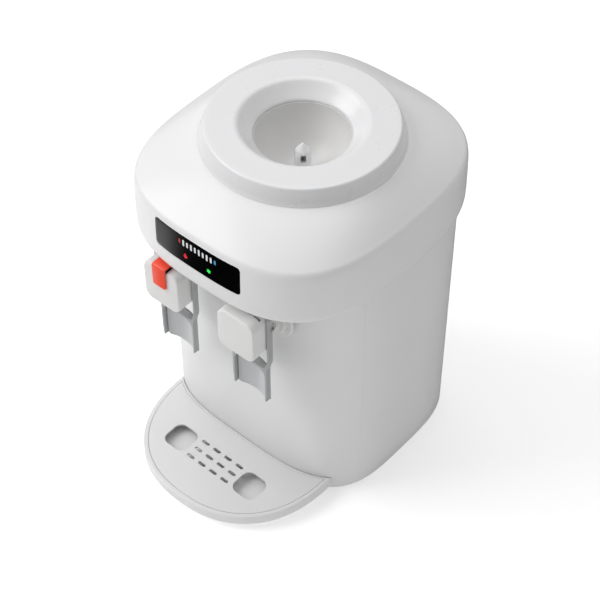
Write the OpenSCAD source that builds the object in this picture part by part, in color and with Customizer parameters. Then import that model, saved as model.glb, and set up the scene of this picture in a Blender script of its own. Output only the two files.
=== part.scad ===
// Countertop water dispenser for an upturned bottle, in millimetres.
// +Z is up and the front faces -Y. The origin lies on the table, in the middle of the footprint.

/* [Overall] */
// Height of the seat that carries the bottle's shoulder
seat_top_z = 385; // [384:0.5:386]
// Distance of the bottle's axis behind the middle of the footprint
bottle_y = 23; // [22:0.5:24]

/* [Body] */
// Half of the body's width
body_half_w = 124.5; // [124:0.1:125]
// Depth of the body in front of its middle
body_half_d = 105; // [104:0.5:106]
// Depth of the body behind its middle, before its back is cut flat
body_rear_d = 113.5; // [112:0.5:114]
// Middle of the body's outline
body_mid_y = 35; // [34.5:0.5:35.5]
// How square the body's outline is, where 2 is an ellipse
body_power = 3.5; // [3.3:0.1:3.8]
// Flat back of the body
body_back_y = 135; // [134.5:0.5:136]
// Underside of the body above the table
body_bottom_z = 3.4; // [3:0.2:4]
// Top of the body's panels, inside the housing
body_top_z = 296; // [294:0.5:298]
// Thickness of the moulded panels
wall = 2.5; // [2:0.1:2.8]
// Seam between the front panel and the side panels
seam_y = -27; // [-35:1:-20]

/* [Top housing] */
// Half of the housing's width
housing_half_w = 131.5; // [131:0.5:132]
// Half of the housing's depth
housing_half_d = 144.5; // [144:0.5:145]
// Middle of the housing's outline
housing_mid_y = 22.5; // [22:0.5:23]
// How square the housing's outline is
housing_power = 3; // [2.8:0.1:3.2]
// Lower edge of the housing
housing_bottom_z = 285; // [284:0.5:286]
// Height where the side wall turns into the domed top
housing_edge_z = 345.5; // [344:0.5:346]
// Radius of the opening under the seat ring
housing_hole_r = 88; // [86:0.5:89]

/* [Display] */
// Half of the display's width
display_half_w = 50.7; // [48:0.1:52]
// Lower edge of the display
display_bottom_z = 306; // [305:0.5:307]
// Height of the display
display_h = 32.5; // [31:0.5:33]
// Corner radius of the display
display_corner_r = 4; // [3:0.5:6]

/* [Bottle seat] */
// Radius of the seat ring's flat top
seat_r = 90; // [89:0.5:91]
// Radius of the ring where it meets the housing
seat_foot_r = 95.1; // [94:0.1:96]
// Height of the ring above the housing
seat_h = 16.7; // [16:0.1:17]
// Radius where the ring's flat top rolls into the funnel
lip_r = 63; // [61:0.5:64]
// Radius at the bottom of the funnel
funnel_r = 45.5; // [44:0.5:46]
// Tip of the water spike above the table
spike_tip_z = 358; // [356:0.5:359]

/* [Taps] */
// Distance of each tap from the middle plane
tap_x = 46; // [45:0.5:47]
// Width of the tap's front cover
cover_w = 43.4; // [43:0.2:44]
// Height of the tap's front cover
cover_h = 47.6; // [47:0.2:48]
// Front face of the cover
cover_front_y = -123; // [-124:0.5:-122.5]
// Depth of the cover
cover_depth = 20; // [19:0.5:20.5]
// Middle of the cover
cover_z = 252.8; // [252.5:0.1:253]
// Corner radius of the cover
cover_corner_r = 9; // [7:0.5:11]
// Height of the barrel's axis
barrel_z = 239; // [238.5:0.1:239.5]
// Radius of the barrel
barrel_r = 9; // [8.5:0.1:9.2]
// Radius of the stepped ring nut that holds the barrel to the panel
nut_r = 24; // [22:0.5:24.5]

/* [Levers] */
// Height of the lever's pivot
pivot_z = 262; // [261.5:0.1:262.5]
// Place of the lever's pivot, front to back
pivot_y = -99.9; // [-100.1:0.1:-99.7]
// Half of the width across the lever's upper arms
arm_half_w = 24.6; // [24.4:0.1:25]
// Half of the width across the lever's lower loop
loop_half_w = 21.2; // [21:0.1:21.4]
// Lowest point of the lever
lever_bottom_z = 160; // [156:0.5:164]
// Radius of the paddle's hollow face, which suits a cup
paddle_face_r = 42; // [36:1:60]

/* [Drip tray] */
// Half of the tray's width
tray_half_w = 103; // [102:0.5:104]
// Front edge of the tray
tray_front_y = -167; // [-167.5:0.5:-166]
// Middle of the tray's outline
tray_mid_y = -55; // [-56:0.5:-54]
// How square the tray's outline is
tray_power = 2.3; // [2.2:0.05:2.5]
// Top of the tray
tray_top_z = 19.4; // [19:0.2:20]
// Width of the rim round the grille
tray_rim = 4.6; // [4:0.2:5.5]
// Width of the rim along the body
tray_back_rim = 2; // [1.6:0.1:2.4]
// Distance of each well from the middle plane
well_x = 47; // [46:0.5:48]
// Middle row of the slots, and of the wells
grille_mid_y = -112.3; // [-113:0.1:-112]
// Side of a well
well_size = 29; // [26:0.5:30]

/* [Tanks] */
// Radius of the cold tank
cold_tank_r = 56; // [54:0.5:57]
// Radius of the hot tank
hot_tank_r = 38; // [36:0.5:39]

/* [Hidden] */
$fn = 64;
outline_steps = 96;
loft_steps = 72;
far = 400;              // longer than anything that is cut
gap = 0.3;              // clearance between pieces that move on each other
fit = 0.05;             // radial clearance of a pin or stem in its hole
seam = 0.2;             // clearance between fixed pieces
collar_gap = 0.9;       // clearance between the body and the collar of the housing
housing_wall = 3;
dome_crown = 0.25;      // how much the domed top bulges over a straight cone
seat_foot_z = seat_top_z - seat_h;
dome_top_z = seat_foot_z - gap;
cover_back_y = cover_front_y + cover_depth;
panel_y = -69;          // front panel's outer face behind each tap
tail_y = panel_y + 15.6; // rear end of the tap's barrel
stem_y = -88.5;         // valve stem, behind the pivot so that the lever lifts it
nozzle_y = grille_mid_y;
rear_face_y = body_back_y - wall;
base_top_z = body_bottom_z + 3.6;
fan_z = 222;
fan_half = 40;
white = [0.93, 0.93, 0.92];
grey = [0.60, 0.62, 0.63];
light_grey = [0.72, 0.74, 0.75];
steel = [0.75, 0.76, 0.78];
catch_red = [1.0, 0.33, 0.22];
black = [0.03, 0.03, 0.035];
board_green = [0.10, 0.35, 0.18];

// ---------- outlines and shared shapes ----------

// One point of a squared ellipse, at the angle t
function squared(a, b, power, t) =
    let (reach = pow(pow(abs(cos(t)) / a, power) + pow(abs(sin(t)) / b, power), -1 / power))
    [reach * cos(t), reach * sin(t)];

// A closed squared ellipse round [0, mid_y], front_b deep at the front and rear_b deep at the rear
function outline(a, front_b, rear_b, power, mid_y, steps = outline_steps) = [
    for (i = [0 : steps - 1])
        let (t = 360 * i / steps, p = squared(a, t < 180 ? rear_b : front_b, power, t))
        [p.x, p.y + mid_y]
];

// The body's outline, with its back cut flat
function body_outline(grow = 0, steps = outline_steps) =
    let (a = body_half_w + grow, front_b = body_half_d + grow, rear_b = body_rear_d + grow)
    [
        for (p = outline(a, front_b, rear_b, body_power, body_mid_y, steps))
            [p.x, min(p.y, body_back_y + grow)]
    ];

function arc(x, y, r, from, to, steps = 10) = [
    for (i = [0 : steps])
        let (t = from + (to - from) * i / steps)
        [x + r * cos(t), y + r * sin(t)]
];

function mix(a, b, t) = a + (b - a) * t;

// Ring joined to ring all round, the last to the first, as one closed skin
module loft(rings) {
    count = len(rings);
    steps = len(rings[0]);
    polyhedron(
        points = [for (ring = rings) each ring],
        faces = [
            for (j = [0 : count - 1], i = [0 : steps - 1])
                let (k = (j + 1) % count, n = (i + 1) % steps)
                each [
                    [j * steps + i, k * steps + i, k * steps + n],
                    [j * steps + i, k * steps + n, j * steps + n]
                ]
        ]
    );
}

module rounded_square(size, r) {
    square([size.x - 2 * r, size.y], center = true);
    square([size.x, size.y - 2 * r], center = true);
    for (sx = [-1, 1], sy = [-1, 1])
        translate([sx * (size.x / 2 - r), sy * (size.y / 2 - r)]) circle(r);
}

// A front-view outline in X and Z, from front_y back through depth
module from_front(front_y, depth) {
    translate([0, front_y + depth, 0]) rotate([90, 0, 0]) linear_extrude(depth) children();
}

// A cylinder along +Y
module rod_y(x, y, z, r, length) {
    translate([x, y, z]) rotate([-90, 0, 0]) cylinder(r = r, h = length);
}

// A closed skin over rings of equal size, with a flat end on the first and the last
module sweep(rings) {
    sides = len(rings[0]);
    last = len(rings) - 1;
    skin = [
        for (i = [0 : last - 1], k = [0 : sides - 1])
            let (n = (k + 1) % sides)
            [i * sides + k, i * sides + n, (i + 1) * sides + n, (i + 1) * sides + k]
    ];
    polyhedron([for (ring = rings) each ring], concat(
        skin,
        [[for (k = [sides - 1 : -1 : 0]) k]],
        [[for (k = [0 : sides - 1]) last * sides + k]]
    ));
}

function unit(v) = v / norm(v);

// A hose through a list of points, mitred at its bends
module hose(points, r) {
    sides = 12;
    last = len(points) - 1;
    off_axis = [0.83, 0.31, 0.12];
    sweep([
        for (i = [0 : last])
            let (
                before = unit(points[max(i, 1)] - points[max(i, 1) - 1]),
                after = unit(points[min(i, last - 1) + 1] - points[min(i, last - 1)]),
                along = unit(before + after),
                across = unit(cross(off_axis, along)),
                up = cross(along, across)
            )
            [for (k = [0 : sides - 1])
                let (w = 360 * k / sides)
                points[i] + r * (cos(w) * across + sin(w) * up)]
    ]);
}

// A coil spring round +Z, swept along its helix
module coil(r, wire_r, length, turns) {
    per_turn = 14;
    sides = 6;
    steps = turns * per_turn;
    rise = length - 2 * wire_r;
    sweep([
        for (i = [0 : steps])
            [for (k = [0 : sides - 1])
                let (t = 360 * i / per_turn, w = 360 * k / sides, reach = r + wire_r * cos(w))
                [reach * cos(t), reach * sin(t), wire_r + rise * i / steps + wire_r * sin(w)]]
    ]);
}

// ---------- body ----------

foot_places = [[-90, -38], [90, -38], [-90, 104], [90, 104]];

foot_peg_r = 2;

module base_pan() {
    vent = [4, 60];
    vent_pitch = 11;
    vent_mid = [35, 50];
    color(white) translate([0, 0, body_bottom_z]) linear_extrude(base_top_z - body_bottom_z) difference() {
        polygon(body_outline(-wall - seam));
        for (i = [-4 : 4])
            translate([vent_mid.x + i * vent_pitch, vent_mid.y]) square(vent, center = true);
        for (p = foot_places) translate(p) circle(foot_peg_r);
    }
}

module foot_pads() {
    pad_r = 11;
    color(black) for (p = foot_places) translate(p) {
        cylinder(r = pad_r, h = body_bottom_z);
        cylinder(r = foot_peg_r - seam, h = base_top_z);
    }
}

module body_skin() {
    difference() {
        polygon(body_outline());
        polygon(body_outline(-wall));
    }
}

hook_x = 55;
hook_half_w = 9;
hook_z = 9;
hook_h = 4;

module front_panel() {
    color(white) difference() {
        translate([0, 0, body_bottom_z]) linear_extrude(body_top_z - body_bottom_z) intersection() {
            body_skin();
            translate([-far / 2, seam_y - seam / 2 - far]) square(far);
        }
        for (side = [-1, 1]) {
            rod_y(side * tap_x, panel_y - 10, barrel_z, barrel_r + seam, 30);
            translate([side * hook_x - hook_half_w - 1, panel_y - 10, hook_z - 1])
                cube([2 * hook_half_w + 2, 30, hook_h + 2]);
        }
    }
}

window_half_w = 62;
window_bottom_z = 22;
window_top_z = 272;

module side_panels() {
    color(white) difference() {
        translate([0, 0, body_bottom_z]) linear_extrude(body_top_z - body_bottom_z) intersection() {
            body_skin();
            translate([-far / 2, seam_y + seam / 2]) square(far);
        }
        translate([-window_half_w, rear_face_y - 1, window_bottom_z])
            cube([2 * window_half_w, 10, window_top_z - window_bottom_z]);
        for (p = screw_places) rod_y(p.x, rear_face_y - 1, p.y, screw_hole_r, 10);
    }
}

// Places on the rear panel: x and z
switch_places = [[-22, 62], [8, 62]];
switch_w = 21;
switch_h = 15;
inlet_place = [40, 62];
inlet_w = 27.4;
inlet_h = 20;
drain_place = [-46, 40];
drain_r = 9;
screw_places = [[-66, 30], [66, 30], [-66, 150], [66, 150], [-66, 264], [66, 264]];
screw_hole_r = 1.5;
rear_panel_t = 2.4;

module rear_panel() {
    lap = 8;
    slot_w = 4;
    fan_slot_pitch = 6;
    vent_pitch = 12;
    vent_bottom_z = 105;
    vent_h = 40;
    color(white) difference() {
        translate([-window_half_w - lap, rear_face_y - seam - rear_panel_t, window_bottom_z - lap])
            cube([2 * (window_half_w + lap), rear_panel_t, window_top_z - window_bottom_z + 2 * lap]);
        for (i = [-6 : 6]) {
            reach = sqrt(pow(fan_half, 2) - pow(i * fan_slot_pitch, 2)) - 2;
            translate([i * fan_slot_pitch - slot_w / 2, rear_face_y - 10, fan_z - reach])
                cube([slot_w, 20, 2 * reach]);
        }
        for (i = [-4 : 4])
            translate([i * vent_pitch - slot_w / 2, rear_face_y - 10, vent_bottom_z])
                cube([slot_w, 20, vent_h]);
        for (p = switch_places)
            translate([p.x - switch_w / 2, rear_face_y - 10, p.y - switch_h / 2])
                cube([switch_w, 20, switch_h]);
        translate([inlet_place.x - inlet_w / 2, rear_face_y - 10, inlet_place.y - inlet_h / 2])
            cube([inlet_w, 20, inlet_h]);
        rod_y(drain_place.x, rear_face_y - 10, drain_place.y, drain_r + seam, 20);
        for (p = screw_places) rod_y(p.x, rear_face_y - 10, p.y, screw_hole_r, 20);
    }
}

module rear_screws() {
    head_r = 3.2;
    head_t = 1.6;
    shank = 8;
    cross = [4, 0.8];
    color(steel) for (p = screw_places) difference() {
        union() {
            rod_y(p.x, body_back_y, p.y, head_r, head_t);
            rod_y(p.x, body_back_y - shank, p.y, screw_hole_r - 0.1, shank + 0.1);
        }
        translate([p.x, 0, p.y]) from_front(body_back_y + head_t / 2, head_t) {
            square(cross, center = true);
            square([cross.y, cross.x], center = true);
        }
    }
}

// ---------- top housing and display ----------

function raised(points, z) = [for (p = points) [p.x, p.y, z]];

function housing_outline(shrink, steps) =
    let (b = housing_half_d - shrink)
    outline(housing_half_w - shrink, b, b, housing_power, housing_mid_y, steps);

function housing_ring(shrink, z) = raised(housing_outline(shrink, loft_steps), z);

function round_ring(r, z) = raised(outline(r, r, r, 2, bottle_y, loft_steps), z);

function collar_ring(z) = raised(body_outline(collar_gap, loft_steps), z);

// The domed top, from the side wall's edge at t = 0 to the seat ring at t = 1
function dome_ring(t, inset) =
    let (
        edge = 5 + inset,
        rise = dome_top_z - housing_edge_z,
        foot_r = seat_foot_r + 1,
        a = mix(housing_half_w - edge, foot_r, t),
        b = mix(housing_half_d - edge, foot_r, t),
        z = housing_edge_z - inset + rise * (t + dome_crown * t * (1 - t))
    )
    raised(outline(a, b, b, mix(housing_power, 2, t), mix(housing_mid_y, bottle_y, t), loft_steps), z);

dome_steps = 5;
housing_outside = [
    collar_ring(housing_bottom_z + 0.6),
    housing_ring(3.2, housing_bottom_z),
    housing_ring(1, housing_bottom_z + 2.5),
    housing_ring(0.1, housing_bottom_z + 7),
    housing_ring(0, housing_bottom_z + 15),
    housing_ring(0.5, housing_edge_z - 13),
    housing_ring(0.9, housing_edge_z - 7),
    housing_ring(2.3, housing_edge_z - 3),
    for (i = [0 : dome_steps]) dome_ring(i / dome_steps, 0),
    round_ring(housing_hole_r, dome_top_z)
];
housing_inside = [
    round_ring(housing_hole_r, dome_top_z - housing_wall),
    for (i = [dome_steps : -1 : 0]) dome_ring(i / dome_steps, housing_wall),
    housing_ring(housing_wall + 0.5, housing_edge_z - 13),
    housing_ring(housing_wall, housing_bottom_z + 15),
    housing_ring(housing_wall + 0.2, housing_bottom_z + 5),
    collar_ring(housing_bottom_z + 3.6)
];

module display_face(grow) {
    translate([0, display_bottom_z + display_h / 2])
        rounded_square([2 * display_half_w + 2 * grow, display_h + 2 * grow], display_corner_r + grow);
}

module top_housing() {
    color(white) difference() {
        loft(concat(housing_outside, housing_inside));
        from_front(housing_mid_y - housing_half_d - 10, 30) display_face(seam);
    }
}

module display_lens() {
    lens_t = 3;
    color(black) intersection() {
        linear_extrude(far) difference() {
            polygon(housing_outline(0.1, outline_steps));
            polygon(housing_outline(lens_t, outline_steps));
        }
        from_front(housing_mid_y - housing_half_d - 10, 30) display_face(0);
    }
}

led_z = display_bottom_z + 9.2;
heating_led_x = -12;
cooling_led_x = 16;
board_y = housing_mid_y - housing_half_d + 13;

module indicator_board() {
    color(board_green) difference() {
        translate([-44, board_y, display_bottom_z - 4]) cube([88, 1.6, display_h]);
        for (sx = [-1, 1]) rod_y(sx * 39, board_y - 1, display_bottom_z + 22, 1.6, 4);
    }
    color(black) translate([-10, board_y + 1.6, display_bottom_z + 10]) cube([14, 3, 10]);
}

module indicator_led(x) {
    length = 6;
    rod_y(x, board_y - length, led_z, 1.5, length);
    translate([x, board_y - length, led_z]) sphere(1.5);
}

module heating_led() { color("red") indicator_led(heating_led_x); }
module cooling_led() { color("lime") indicator_led(cooling_led_x); }

// ---------- bottle receiver ----------

module at_bottle() { translate([0, bottle_y, 0]) children(); }

lip_roll = 8;
funnel_bottom_z = seat_top_z - 14;

module seat_ring() {
    edge_r = 2.2;
    skin = 2.4;
    lip_end = 135;
    color(white) at_bottle() rotate_extrude($fn = 128) polygon(concat(
        [[seat_foot_r, seat_foot_z], [seat_foot_r - 1.6, seat_foot_z + 6]],
        arc(seat_r - edge_r, seat_top_z - edge_r, edge_r, 10, 90, 5),
        arc(lip_r, seat_top_z - lip_roll, lip_roll, 90, lip_end),
        [[funnel_r, funnel_bottom_z], [funnel_r, funnel_bottom_z - 2]],
        [[funnel_r + skin, funnel_bottom_z - 2]],
        arc(lip_r, seat_top_z - lip_roll, lip_roll - skin, lip_end, 90),
        arc(seat_r - edge_r, seat_top_z - edge_r - skin, edge_r, 90, 10, 5),
        [[seat_foot_r - 1.6 - skin, seat_foot_z + 6], [seat_foot_r - skin, seat_foot_z]]
    ));
}

bowl_floor_z = 323;
bowl_floor_r = 14;

// A rounded bowl with a flat floor round the spike, and a flange that the ring sits on
module receiver_bowl() {
    skin = 2.2;
    steps = 12;
    flange_w = 9;
    rim_z = funnel_bottom_z - 2 - seam;
    mouth_r = funnel_r - 1;
    end = acos(bowl_floor_r / mouth_r);
    dip = (rim_z - bowl_floor_z) / sin(end);
    inside = [for (i = [0 : steps]) let (t = end * i / steps) [mouth_r * cos(t), rim_z - dip * sin(t)]];
    outside = [
        for (i = [steps : -1 : 1])
            let (t = end * i / steps)
            [(mouth_r + skin) * cos(t), rim_z - (dip + skin) * sin(t)]
    ];
    color(white) at_bottle() difference() {
        rotate_extrude($fn = 128) polygon(concat(
            [[mouth_r + flange_w, rim_z]],
            inside,
            [[0, bowl_floor_z], [0, bowl_floor_z - skin]],
            outside,
            [[mouth_r + skin, rim_z - skin], [mouth_r + flange_w, rim_z - skin]]
        ));
        translate([0, 0, bowl_floor_z - 10]) cylinder(r = spike_r + seam, h = 20);
    }
}

spike_r = 8;
spike_bottom_z = 288;

module water_spike() {
    shoulder_z = spike_tip_z - 11;
    window_w = 5;
    window_h = 8;
    collar_r = spike_r + 4;
    bore_r = 5.6;
    color(white) at_bottle() difference() {
        rotate_extrude() polygon([
            [0, spike_bottom_z], [spike_r, spike_bottom_z], [spike_r, bowl_floor_z + seam],
            [collar_r, bowl_floor_z + seam], [collar_r - 1, bowl_floor_z + 3], [spike_r, bowl_floor_z + 5],
            [spike_r, shoulder_z], [spike_r - 1.5, shoulder_z + 4], [1.2, spike_tip_z - 0.6], [0, spike_tip_z]
        ]);
        translate([0, 0, spike_bottom_z - 1]) cylinder(r = bore_r, h = shoulder_z + 3 - spike_bottom_z);
        for (a = [45, 135])
            rotate([0, 0, a]) translate([-window_w / 2, -20, shoulder_z - 6]) cube([window_w, 40, window_h]);
    }
}

neck_r = 11;

module spike_seal() {
    seal_z = 300;
    seal_t = 4;
    color(black) at_bottle() translate([0, 0, seal_z]) linear_extrude(seal_t) difference() {
        circle(neck_r - gap);
        circle(spike_r + fit);
    }
}

// ---------- cooling side ----------

cold_bottom_z = 176;
cold_top_z = 290;
tank_wall = 1.5;
outlet_r = 3;
cold_outlet_turn = -57;
cold_outlet_z = 192;

module cold_tank() {
    neck_top_z = bowl_floor_z - 8;
    outer = cold_tank_r;
    color(steel) at_bottle() difference() {
        union() {
            translate([0, 0, cold_bottom_z]) cylinder(r = outer, h = cold_top_z - cold_bottom_z);
            translate([0, 0, cold_top_z - 1])
                cylinder(r = neck_r + tank_wall, h = neck_top_z - cold_top_z + 1);
            translate([0, 0, neck_top_z - 2]) cylinder(r = neck_r + 7, h = 2);
        }
        translate([0, 0, cold_bottom_z + tank_wall])
            cylinder(r = outer - tank_wall, h = cold_top_z - cold_bottom_z - 2 * tank_wall);
        translate([0, 0, cold_top_z - 5]) cylinder(r = neck_r, h = 40);
        translate([0, 0, cold_bottom_z - 1]) cylinder(r = outlet_r, h = 5);
        rotate([0, 0, cold_outlet_turn]) translate([outer - 5, 0, cold_outlet_z]) rotate([0, 90, 0])
            cylinder(r = outlet_r, h = 10);
    }
}

module tank_baffle() {
    plate_z = 236;
    plate_t = 2;
    pipe_r = 7;
    pipe_wall = 2;
    hole_ring_r = 36;
    hole_r = 4;
    pipe_bottom_z = cold_bottom_z + tank_wall + seam;
    color(light_grey) at_bottle() {
        translate([0, 0, plate_z]) linear_extrude(plate_t) difference() {
            circle(cold_tank_r - tank_wall - 1.5);
            circle(pipe_r - pipe_wall);
            for (a = [0 : 60 : 300]) rotate(a) translate([hole_ring_r, 0]) circle(hole_r);
        }
        translate([0, 0, pipe_bottom_z]) linear_extrude(plate_z + 1 - pipe_bottom_z) difference() {
            circle(pipe_r);
            circle(pipe_r - pipe_wall);
        }
    }
}

foam_r = 66;

// A jacket with a hole below, a window for the cold plate and a notch for the cold hose
module tank_foam() {
    floor_t = 8;
    hole_r = 10;
    window_half = plate_half + 3;
    notch = [40, 50, 14];
    color([0.9, 0.88, 0.8]) at_bottle() difference() {
        translate([0, 0, cold_bottom_z - floor_t]) cylinder(r = foam_r, h = cold_top_z - cold_bottom_z + 6);
        translate([0, 0, cold_bottom_z - seam]) cylinder(r = cold_tank_r + seam, h = far);
        translate([0, 0, cold_bottom_z - 2 * floor_t]) cylinder(r = hole_r, h = far);
        translate([-window_half, 30, fan_z - window_half]) cube([2 * window_half, 60, 2 * window_half]);
        translate([notch.x / 2, -80, cold_outlet_z - notch.z / 2]) cube(notch);
    }
}

// The chip is clamped between a block on the tank and the heat sink
chip_y = 86;
plate_half = 28;

module cold_plate() {
    front_y = bottle_y + 40;
    color(steel) difference() {
        translate([-plate_half, front_y, fan_z - plate_half])
            cube([2 * plate_half, chip_y - front_y - seam, 2 * plate_half]);
        at_bottle() translate([0, 0, 100]) cylinder(r = cold_tank_r + 0.1, h = far);
    }
}

module cooling_chip() {
    half = 20;
    color([0.95, 0.95, 0.95]) translate([-half, chip_y, fan_z - half]) cube([2 * half, 3.8, 2 * half]);
}

sink_y = chip_y + 4;

module heat_sink() {
    half = 38;
    base_t = 4;
    fin_t = 1.4;
    fin_l = 15;
    fin_pitch = 6.2;
    color(steel) translate([0, sink_y, fan_z - half]) {
        translate([-half, 0, 0]) cube([2 * half, base_t, 2 * half]);
        for (i = [-6 : 6])
            translate([i * fin_pitch - fin_t / 2, base_t - 0.1, 0]) cube([fin_t, fin_l, 2 * half]);
    }
}

fan_y = sink_y + 20;
fan_t = 14;

fan_shaft_r = 2;

module fan_frame() {
    bolt_reach = 35.5;
    bolt_hole_r = 2;
    spider_t = 1.6;
    spoke_w = 3;
    hub_r = 12;
    color(black) {
        difference() {
            translate([-fan_half, fan_y, fan_z - fan_half]) cube([2 * fan_half, fan_t, 2 * fan_half]);
            rod_y(0, fan_y - 1, fan_z, fan_half - 2, fan_t + 2);
            for (sx = [-1, 1], sz = [-1, 1])
                rod_y(sx * bolt_reach, fan_y - 1, fan_z + sz * bolt_reach, bolt_hole_r, fan_t + 2);
        }
        difference() {
            union() {
                rod_y(0, fan_y, fan_z, hub_r, spider_t);
                for (a = [45 : 90 : 315]) translate([0, fan_y, fan_z]) rotate([0, a, 0])
                    translate([0, 0, -spoke_w / 2]) cube([fan_half - 1.9, spider_t, spoke_w]);
            }
            rod_y(0, fan_y - 1, fan_z, fan_shaft_r, 4);
        }
    }
}

module fan_rotor() {
    blades = 7;
    hub_r = 15;
    blade = [fan_half - 18, 1.4, 10];
    pitch = 35;
    front_y = fan_y + 2.2;
    depth = fan_t - 3.2;
    color(black) {
        rod_y(0, front_y, fan_z, hub_r, depth);
        rod_y(0, fan_y + seam, fan_z, fan_shaft_r - fit, 3);
        for (i = [0 : blades - 1])
            translate([0, front_y + depth / 2, fan_z]) rotate([0, 360 * i / blades, 0])
                rotate([pitch, 0, 0]) translate([hub_r - 1, -blade.y / 2, -blade.z / 2]) cube(blade);
    }
}

// ---------- heating side ----------

hot_x = -46;
hot_y = 40;
hot_bottom_z = 36;
hot_top_z = 138;

module hot_tank() {
    port_r = 6;
    port_h = 8;
    bore_r = 4.5;
    color(steel) translate([hot_x, hot_y, 0]) difference() {
        union() {
            translate([0, 0, hot_bottom_z]) cylinder(r = hot_tank_r, h = hot_top_z - hot_bottom_z);
            translate([0, 0, hot_top_z - 1]) cylinder(r = port_r, h = port_h + 1);
            translate([0, 0, hot_bottom_z - port_h]) cylinder(r = port_r, h = port_h + 1);
        }
        translate([0, 0, hot_bottom_z + tank_wall])
            cylinder(r = hot_tank_r - tank_wall, h = hot_top_z - hot_bottom_z - 2 * tank_wall);
        translate([0, 0, hot_bottom_z - 10]) cylinder(r = bore_r, h = 20);
        translate([0, 0, hot_top_z - 5]) cylinder(r = bore_r, h = 20);
        rod_y(drain_place.x - hot_x, hot_tank_r - 10, drain_place.y, 2.4, 20);
    }
}

// A band round the tank, split at its clamp
module band_heater() {
    band_z = 60;
    band_t = 3.5;
    band_h = 34;
    clamp = [12, 12, 22];
    split_w = 2;
    color([0.8, 0.7, 0.45]) translate([hot_x, hot_y, band_z]) difference() {
        union() {
            cylinder(r = hot_tank_r + band_t, h = band_h);
            translate([-clamp.x / 2, -hot_tank_r - 10, (band_h - clamp.z) / 2]) cube(clamp);
        }
        translate([0, 0, -1]) cylinder(r = hot_tank_r + seam, h = band_h + 2);
        translate([-split_w / 2, -hot_tank_r - 20, -1]) cube([split_w, 30, band_h + 2]);
    }
}

module thermostats() {
    reach = 22;
    body_r = 8;
    body_h = 5;
    blades = [10, 3, 7];
    color(black) for (a = [200, 320])
        translate([hot_x, hot_y, hot_top_z + seam]) rotate([0, 0, a]) translate([reach, 0, 0]) {
            cylinder(r = body_r, h = body_h);
            translate([-blades.x / 2, -blades.y / 2, body_h - 1]) cube(blades);
        }
}

module hot_tank_bracket() {
    plate_t = 2;
    leg = [3, 14, hot_bottom_z - base_top_z - 2 * seam];
    color(steel) translate([hot_x, hot_y, base_top_z + seam]) {
        linear_extrude(plate_t) difference() {
            circle(hot_tank_r + 8);
            circle(hot_tank_r - 10);
        }
        for (a = [30 : 120 : 270]) rotate([0, 0, a]) translate([hot_tank_r - 6, -leg.y / 2, 0]) cube(leg);
    }
}

module feed_hose() {
    color(light_grey) hose([
        [0, bottle_y, cold_bottom_z - 0.6],
        [0, bottle_y, 150],
        [14, bottle_y, 140],
        [14, bottle_y, 26],
        [-10, hot_y, 16],
        [hot_x, hot_y, 16],
        [hot_x, hot_y, 27.5]
    ], 4);
}

module hot_hose() {
    color(light_grey) hose([
        [hot_x, hot_y, hot_top_z + 8.4],
        [hot_x, hot_y, 154],
        [hot_x, hot_y - 6, 160],
        [-tap_x, -36, 160],
        [-tap_x, -42, 168],
        [-tap_x, -42, barrel_z - 8],
        [-tap_x, -46, barrel_z],
        [-tap_x, tail_y + seam, barrel_z]
    ], 4);
}

module cold_hose() {
    color(light_grey) hose([
        [31, -24.4, cold_outlet_z],
        [40, -38, cold_outlet_z],
        [tap_x, -42, 198],
        [tap_x, -42, barrel_z - 8],
        [tap_x, -46, barrel_z],
        [tap_x, tail_y + seam, barrel_z]
    ], 4);
}

module drain_pipe() {
    color(light_grey) difference() {
        union() {
            rod_y(drain_place.x, 100, drain_place.y, drain_r, rear_face_y + 5 - 100);
            rod_y(drain_place.x, hot_y + hot_tank_r + 0.4, drain_place.y, 5, 23);
        }
        rod_y(drain_place.x, hot_y + hot_tank_r, drain_place.y, 3.4, 70);
    }
}

module drain_cap() {
    cap_y = rear_face_y + 0.5;
    grips = 18;
    cap_r = 14;
    cap_l = 11;
    grip_r = 1.2;
    color(light_grey) difference() {
        rod_y(drain_place.x, cap_y, drain_place.y, cap_r, cap_l);
        rod_y(drain_place.x, cap_y - 1, drain_place.y, drain_r + gap, cap_l - 3);
        for (i = [0 : grips - 1])
            translate([drain_place.x, 0, drain_place.y]) rotate([0, i * 360 / grips, 0])
                rod_y(cap_r + grip_r / 2, cap_y + 2, 0, grip_r, cap_l);
    }
}

// ---------- electrics ----------

// An upright board with three relays and two capacitors on its inner face
module power_board() {
    corner = [74, 10, 20];
    board = [1.6, 66, 66];
    relay = [7.8, 12, 16];
    relay_pitch = 18;
    capacitor_r = 6;
    capacitor_l = 10;
    capacitor_pitch = 20;
    translate(corner) {
        color(board_green) cube(board);
        color(black) for (i = [0 : 2]) translate([-relay.x, 6 + i * relay_pitch, 10]) cube(relay);
        color(grey) for (i = [0 : 1])
            translate([-capacitor_l, 12 + i * capacitor_pitch, 46]) rotate([0, 90, 0])
                cylinder(r = capacitor_r, h = capacitor_l);
    }
}

module transformer() {
    corner = [28, -20, base_top_z + seam];
    winding = [44, 24, 40];
    core = [40, 36, 28];
    translate(corner) {
        color([0.85, 0.75, 0.3]) cube(winding);
        color(steel) translate((winding - core) / 2) cube(core);
    }
}

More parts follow.
